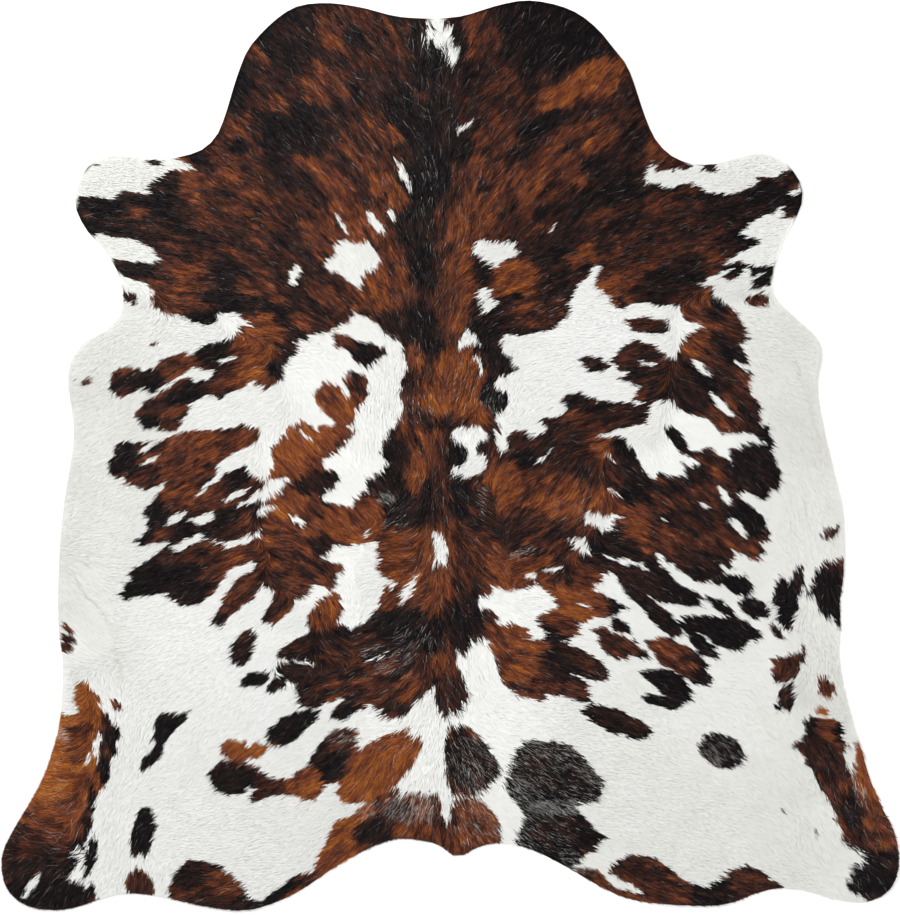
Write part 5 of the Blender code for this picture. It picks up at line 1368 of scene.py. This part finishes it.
pale = dark & (luck.random(count) < peppering)
stray = dark & (luck.random(count) < STRAY * (1 + STRAY_IN_LONG * extra))
coloured = np.where(dark, 1.0, 0.0)
coloured[pale] = luck.uniform(*PALE, pale.sum())
# painted highlights: the stray hairs are mixed towards the pale colour
coloured[stray] = luck.uniform(*STRAY_HIGHLIGHT_COLOUR, stray.sum())
width[pale | stray] *= 0.5
length[stray] *= STRAY_LENGTH
bend[stray] *= STRAY_BEND
print("share of dark hairs", round(dark.mean(), 3), "with", pale.sum(), "pale and", stray.sum(), "stray ones")

SHORTEST = 0.12  # share of its length that every hair keeps


def trimmed(length):
    """Hairs that would hang too far over the edge are cut back to it."""
    deep = rim_distance_near(roots)
    tip_deep = rim_distance_near(roots + way(heading) * length[:, None])
    allowed = -PAST_EDGE * luck.uniform(0.2, 1, count)
    over = tip_deep < allowed
    share = np.ones(count)
    share[over] = (deep[over] - allowed[over]) / (deep[over] - tip_deep[over])
    return length * np.clip(share, SHORTEST, 1)


length = trimmed(length)

# %% [markdown]
# A blade has four corners: its root, the two sides at the bend, and its tip. The root stands on the leather,
# the bend has risen most of the way, and the tip lies at the top of the coat, over the roots in front of it.

# %% The blades as arrays
ROOT_RISE = 0.15 * MM
BEND_RISE = 0.2 * MM  # a bend lies at least this far above its root
LIFTS = (0.45, 1.1)  # how high the tips lie, as shares of the coat's height
BEND_LIFT = 0.8  # how much of its tip's lift a bend has
ROLL = math.radians(24)  # how far blades are turned about their own length
GATHER = 0.5  # how far a tip leans to the middle of its lock
EARLY = 0.3  # how much of that lean its bend already has


def blades(chosen):
    """The corners of the chosen hairs, four for each."""
    root, toward, size = roots[chosen], heading[chosen], length[chosen]
    forward, onward = way(toward), way(toward + bend[chosen])
    across = np.column_stack([-forward[:, 1], forward[:, 0]])
    lean = across * (((lock[chosen] - root) * across).sum(axis=1) * GATHER)[:, None]
    middle = root + forward * (size * BEND_AT)[:, None] + lean * EARLY
    tip = middle + onward * (size * (1 - BEND_AT))[:, None] + lean * (1 - EARLY)
    lift = np.minimum(luck.uniform(*LIFTS, len(root)), size / HAIR_LENGTH + 0.3)
    roll = luck.normal(0, ROLL, len(root)) * roll_share[chosen]
    half = width[chosen] / 2
    side = across * (half * np.cos(roll))[:, None]
    tilt = half * np.sin(roll)

    def height(points, share):
        return read_fine(leather_grid, points) + np.maximum(read_fine(coat_grid, points), 0) * share

    root_z = read_fine(leather_grid, root) + ROOT_RISE
    middle_z = np.maximum(height(middle, lift * BEND_LIFT), root_z + BEND_RISE)
    return np.stack([
        np.column_stack([root, root_z]),
        np.column_stack([middle - side, middle_z - tilt]),
        np.column_stack([middle + side, middle_z + tilt]),
        np.column_stack([tip, height(tip, lift)]),
    ], axis=1)


def bake_cells(number):
    """A small square of the texture for each blade, so that a baked colour stays its own."""
    side = math.ceil(math.sqrt(number))
    corner = np.column_stack([np.arange(number) % side, np.arange(number) // side]) / side
    root, right, left, tip = np.array([(0.5, 0.1), (0.9, 0.5), (0.1, 0.5), (0.5, 0.9)]) / side
    return np.stack([corner + place for place in (root, right, left, right, tip, left)], axis=1)


def coat_piece(name, chosen):
    """One region of the coat as a single mesh of loose blades."""
    corners = blades(chosen)
    number = len(corners)
    first = np.arange(number)[:, None] * 4
    triangles = (first + np.array([0, 1, 2, 1, 3, 2])).reshape(-1).astype(np.int32)
    mesh = bpy.data.meshes.new(name)
    mesh.vertices.add(number * 4)
    mesh.vertices.foreach_set("co", corners.reshape(-1).astype(np.float32))
    mesh.loops.add(number * 6)
    mesh.loops.foreach_set("vertex_index", triangles)
    mesh.polygons.add(number * 2)
    mesh.polygons.foreach_set("loop_start", np.arange(0, number * 6, 3, dtype=np.int32))
    mesh.update(calc_edges=True)
    cells = mesh.uv_layers.new(name="OFBake")
    cells.data.foreach_set("uv", bake_cells(number).reshape(-1).astype(np.float32))
    carry(mesh, "coloured", np.repeat(coloured[chosen], 4))
    carry(mesh, "tone", np.repeat(tone[chosen], 4))
    carry(mesh, "strand", np.repeat(strand[chosen], 4))
    carry(mesh, "along", np.tile([0, BEND_AT, BEND_AT, 1], number))
    mesh.polygons.foreach_set("use_smooth", np.ones(number * 2, bool))
    piece = bpy.data.objects.new(name, mesh)
    bpy.context.scene.collection.objects.link(piece)
    return piece


REGIONS = ["coat_neck", "coat_shoulders", "coat_back", "coat_flanks", "coat_rump"]
neck_to_rump = np.argsort(-roots[:, 1])
shares = np.array_split(neck_to_rump, len(REGIONS))
coats = [coat_piece(name, np.sort(chosen)) for name, chosen in zip(REGIONS, shares)]
for coat in coats:
    print(coat.name, len(coat.data.polygons), "faces")

# %% [markdown]
# ## Colour of the coat
# One group of nodes turns the numbers carried by the hairs into colour. The tone picks a colour between tan
# and black, each strand is a little lighter or darker than the next, and the lightest strands get a painted sheen.
# Tips are lighter than roots, as worn hair is, and painted shade darkens the roots further. White hair is mixed
# towards cream by the same number, which also carries painted shade.

# %% The coat's colour as a node group
CARRIED = ("Coloured", "Tone", "Strand", "Along")  # the numbers that every corner of a blade carries
TONE_COLOURS = {
    0.0: (0.40, 0.14, 0.027),
    0.15: (0.29, 0.087, 0.017),
    0.3: (0.20, 0.055, 0.02),
    0.45: (0.115, 0.034, 0.017),
    0.62: (0.047, 0.0175, 0.012),
    0.8: (0.0165, 0.0105, 0.0095),
    1.0: (0.005, 0.0043, 0.0052),
}
PAINTED_SHEEN = (0.036, 0.031, 0.032)  # a painted highlight that the lightest strands add to their colour
WHITE_HAIR = (0.852, 0.858, 0.838)
# the far end of the white mix: cream, and painted shade towards the lower right and in the creases
CREAM_AND_SHADE_HAIR = (0.595, 0.59, 0.55)


def ramp(nodes, stops):
    node = nodes.new("ShaderNodeValToRGB")
    colours = node.color_ramp.elements
    while len(colours) < len(stops):
        colours.new(0.5)
    for colour, (place, value) in zip(colours, sorted(stops.items())):
        colour.position = place
        colour.color = (*value, 1)
    return node


def scaled(nodes, links, value, low, high, start=0.0):
    """A number from start to 1 brought to the range from low to high."""
    node = nodes.new("ShaderNodeMapRange")
    node.inputs["From Min"].default_value = start
    node.inputs["To Min"].default_value = low
    node.inputs["To Max"].default_value = high
    links.new(value, node.inputs["Value"])
    return node.outputs["Result"]


def mixed(nodes, links, kind, factor, one, two):
    """Two colours mixed; a factor, colour or number may be a plain value or another node's output."""
    node = nodes.new("ShaderNodeMix")
    node.data_type = "RGBA"
    node.blend_type = kind
    for socket, value in zip((node.inputs["Factor"], node.inputs[6], node.inputs[7]), (factor, one, two)):
        if isinstance(value, bpy.types.NodeSocket):
            links.new(value, socket)
        else:
            socket.default_value = value if socket.type == "VALUE" else (*value, 1)
    return node.outputs[2]


def coat_colour_group():
    group = bpy.data.node_groups.new("coat colour", "ShaderNodeTree")
    for number in CARRIED:
        group.interface.new_socket(number, in_out="INPUT", socket_type="NodeSocketFloat")
    group.interface.new_socket("Color", in_out="OUTPUT", socket_type="NodeSocketColor")
    group.interface.new_socket("Roughness", in_out="OUTPUT", socket_type="NodeSocketFloat")
    nodes, links = group.nodes, group.links
    given, made = nodes.new("NodeGroupInput"), nodes.new("NodeGroupOutput")

    pigment = ramp(nodes, TONE_COLOURS)
    links.new(given.outputs["Tone"], pigment.inputs["Fac"])
    strand_light = scaled(nodes, links, given.outputs["Strand"], 0.45, 1.55)
    # tips lighter than roots: partly the hair's own colour, partly painted shade that darkens the roots
    tip_light_root_shade = scaled(nodes, links, given.outputs["Along"], 0.7, 1.3)
    dark = mixed(nodes, links, "MULTIPLY", 1.0, pigment.outputs["Color"], strand_light)
    dark = mixed(nodes, links, "MULTIPLY", 1.0, dark, tip_light_root_shade)
    # painted sheen: a grey highlight added to the colour of the lightest strands
    painted_sheen_share = scaled(nodes, links, given.outputs["Strand"], 0.0, 1.0, start=0.78)
    dark = mixed(nodes, links, "ADD", painted_sheen_share, dark, PAINTED_SHEEN)

    # white hair mixed towards cream and painted shade by the tone
    pale = mixed(nodes, links, "MIX", given.outputs["Tone"], WHITE_HAIR, CREAM_AND_SHADE_HAIR)
    strand_light = scaled(nodes, links, given.outputs["Strand"], 0.98, 1.015)
    # the same painted root shade, much weaker for white hair
    tip_light_root_shade = scaled(nodes, links, given.outputs["Along"], 0.97, 1.01)
    pale = mixed(nodes, links, "MULTIPLY", 1.0, pale, strand_light)
    pale = mixed(nodes, links, "MULTIPLY", 1.0, pale, tip_light_root_shade)

    both = mixed(nodes, links, "MIX", given.outputs["Coloured"], pale, dark)
    links.new(both, made.inputs["Color"])
    links.new(scaled(nodes, links, given.outputs["Coloured"], 0.62, 0.42), made.inputs["Roughness"])
    return group


coat_colour = coat_colour_group()

# %% [markdown]
# ## Materials
# The hairs and the skin between them share that group. The skin is the same colour but darker and duller,
# because light hardly reaches it. Underneath and along the cut, the leather is bare suede with a short nap.

# %% Materials of hair, skin and suede
def coat_material(name, constants, gloss):
    """Hair or skin: what a mesh doesn't carry is given as a constant."""
    material = plain(name, (0.5, 0.4, 0.3), 0.5)
    nodes, links = material.node_tree.nodes, material.node_tree.links
    group = nodes.new("ShaderNodeGroup")
    group.node_tree = coat_colour
    for number in CARRIED:
        if number in constants:
            group.inputs[number].default_value = constants[number]
            continue
        carried = nodes.new("ShaderNodeAttribute")
        carried.attribute_name = number.lower()
        links.new(carried.outputs["Fac"], group.inputs[number])
    shader = nodes["Principled BSDF"]
    shader.inputs["Specular IOR Level"].default_value = gloss
    links.new(group.outputs["Color"], shader.inputs["Base Color"])
    links.new(group.outputs["Roughness"], shader.inputs["Roughness"])
    return material


def suede_material():
    material = plain("suede", (0.6, 0.5, 0.4), 0.9)
    nodes, links = material.node_tree.nodes, material.node_tree.links
    place = nodes.new("ShaderNodeTexCoord")
    nap = nodes.new("ShaderNodeTexNoise")
    nap.inputs["Scale"].default_value = 900
    nap.inputs["Detail"].default_value = 3
    tint = nodes.new("ShaderNodeTexNoise")
    tint.inputs["Scale"].default_value = 14
    for node in (nap, tint):
        links.new(place.outputs["Object"], node.inputs["Vector"])
    colour = ramp(nodes, {0.3: (0.52, 0.42, 0.32), 0.7: (0.68, 0.6, 0.5)})
    links.new(tint.outputs["Fac"], colour.inputs["Fac"])
    shader = nodes["Principled BSDF"]
    links.new(colour.outputs["Color"], shader.inputs["Base Color"])
    bump = nodes.new("ShaderNodeBump")
    bump.inputs["Strength"].default_value = 0.5
    bump.inputs["Distance"].default_value = 0.4 * MM
    links.new(nap.outputs["Fac"], bump.inputs["Height"])
    links.new(bump.outputs["Normal"], shader.inputs["Normal"])
    return material


hair = coat_material("coat_hair", {}, gloss=0.05)
for coat in coats:
    coat.data.materials.append(hair)
skin = coat_material("coat_skin", {"Strand": 0.3, "Along": 0.1}, gloss=0.02)
leather.data.materials.clear()
leather.data.materials.append(skin)
leather.data.materials.append(suede_material())
for face in leather.data.polygons:
    face.material_index = 0 if face.normal.z > FACING_UP else 1

# %% [markdown]
# ## Declaring the pieces
# The leather is one sheet laid on the floor with the coat growing on it. Everything rides on the only body,
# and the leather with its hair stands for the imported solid.

# %% Riding, replacing and declaring
for piece in (leather, *coats):
    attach(piece, "root")
    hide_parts("hide")
print("added", sum(len(piece.data.polygons) for piece in (leather, *coats)), "faces")
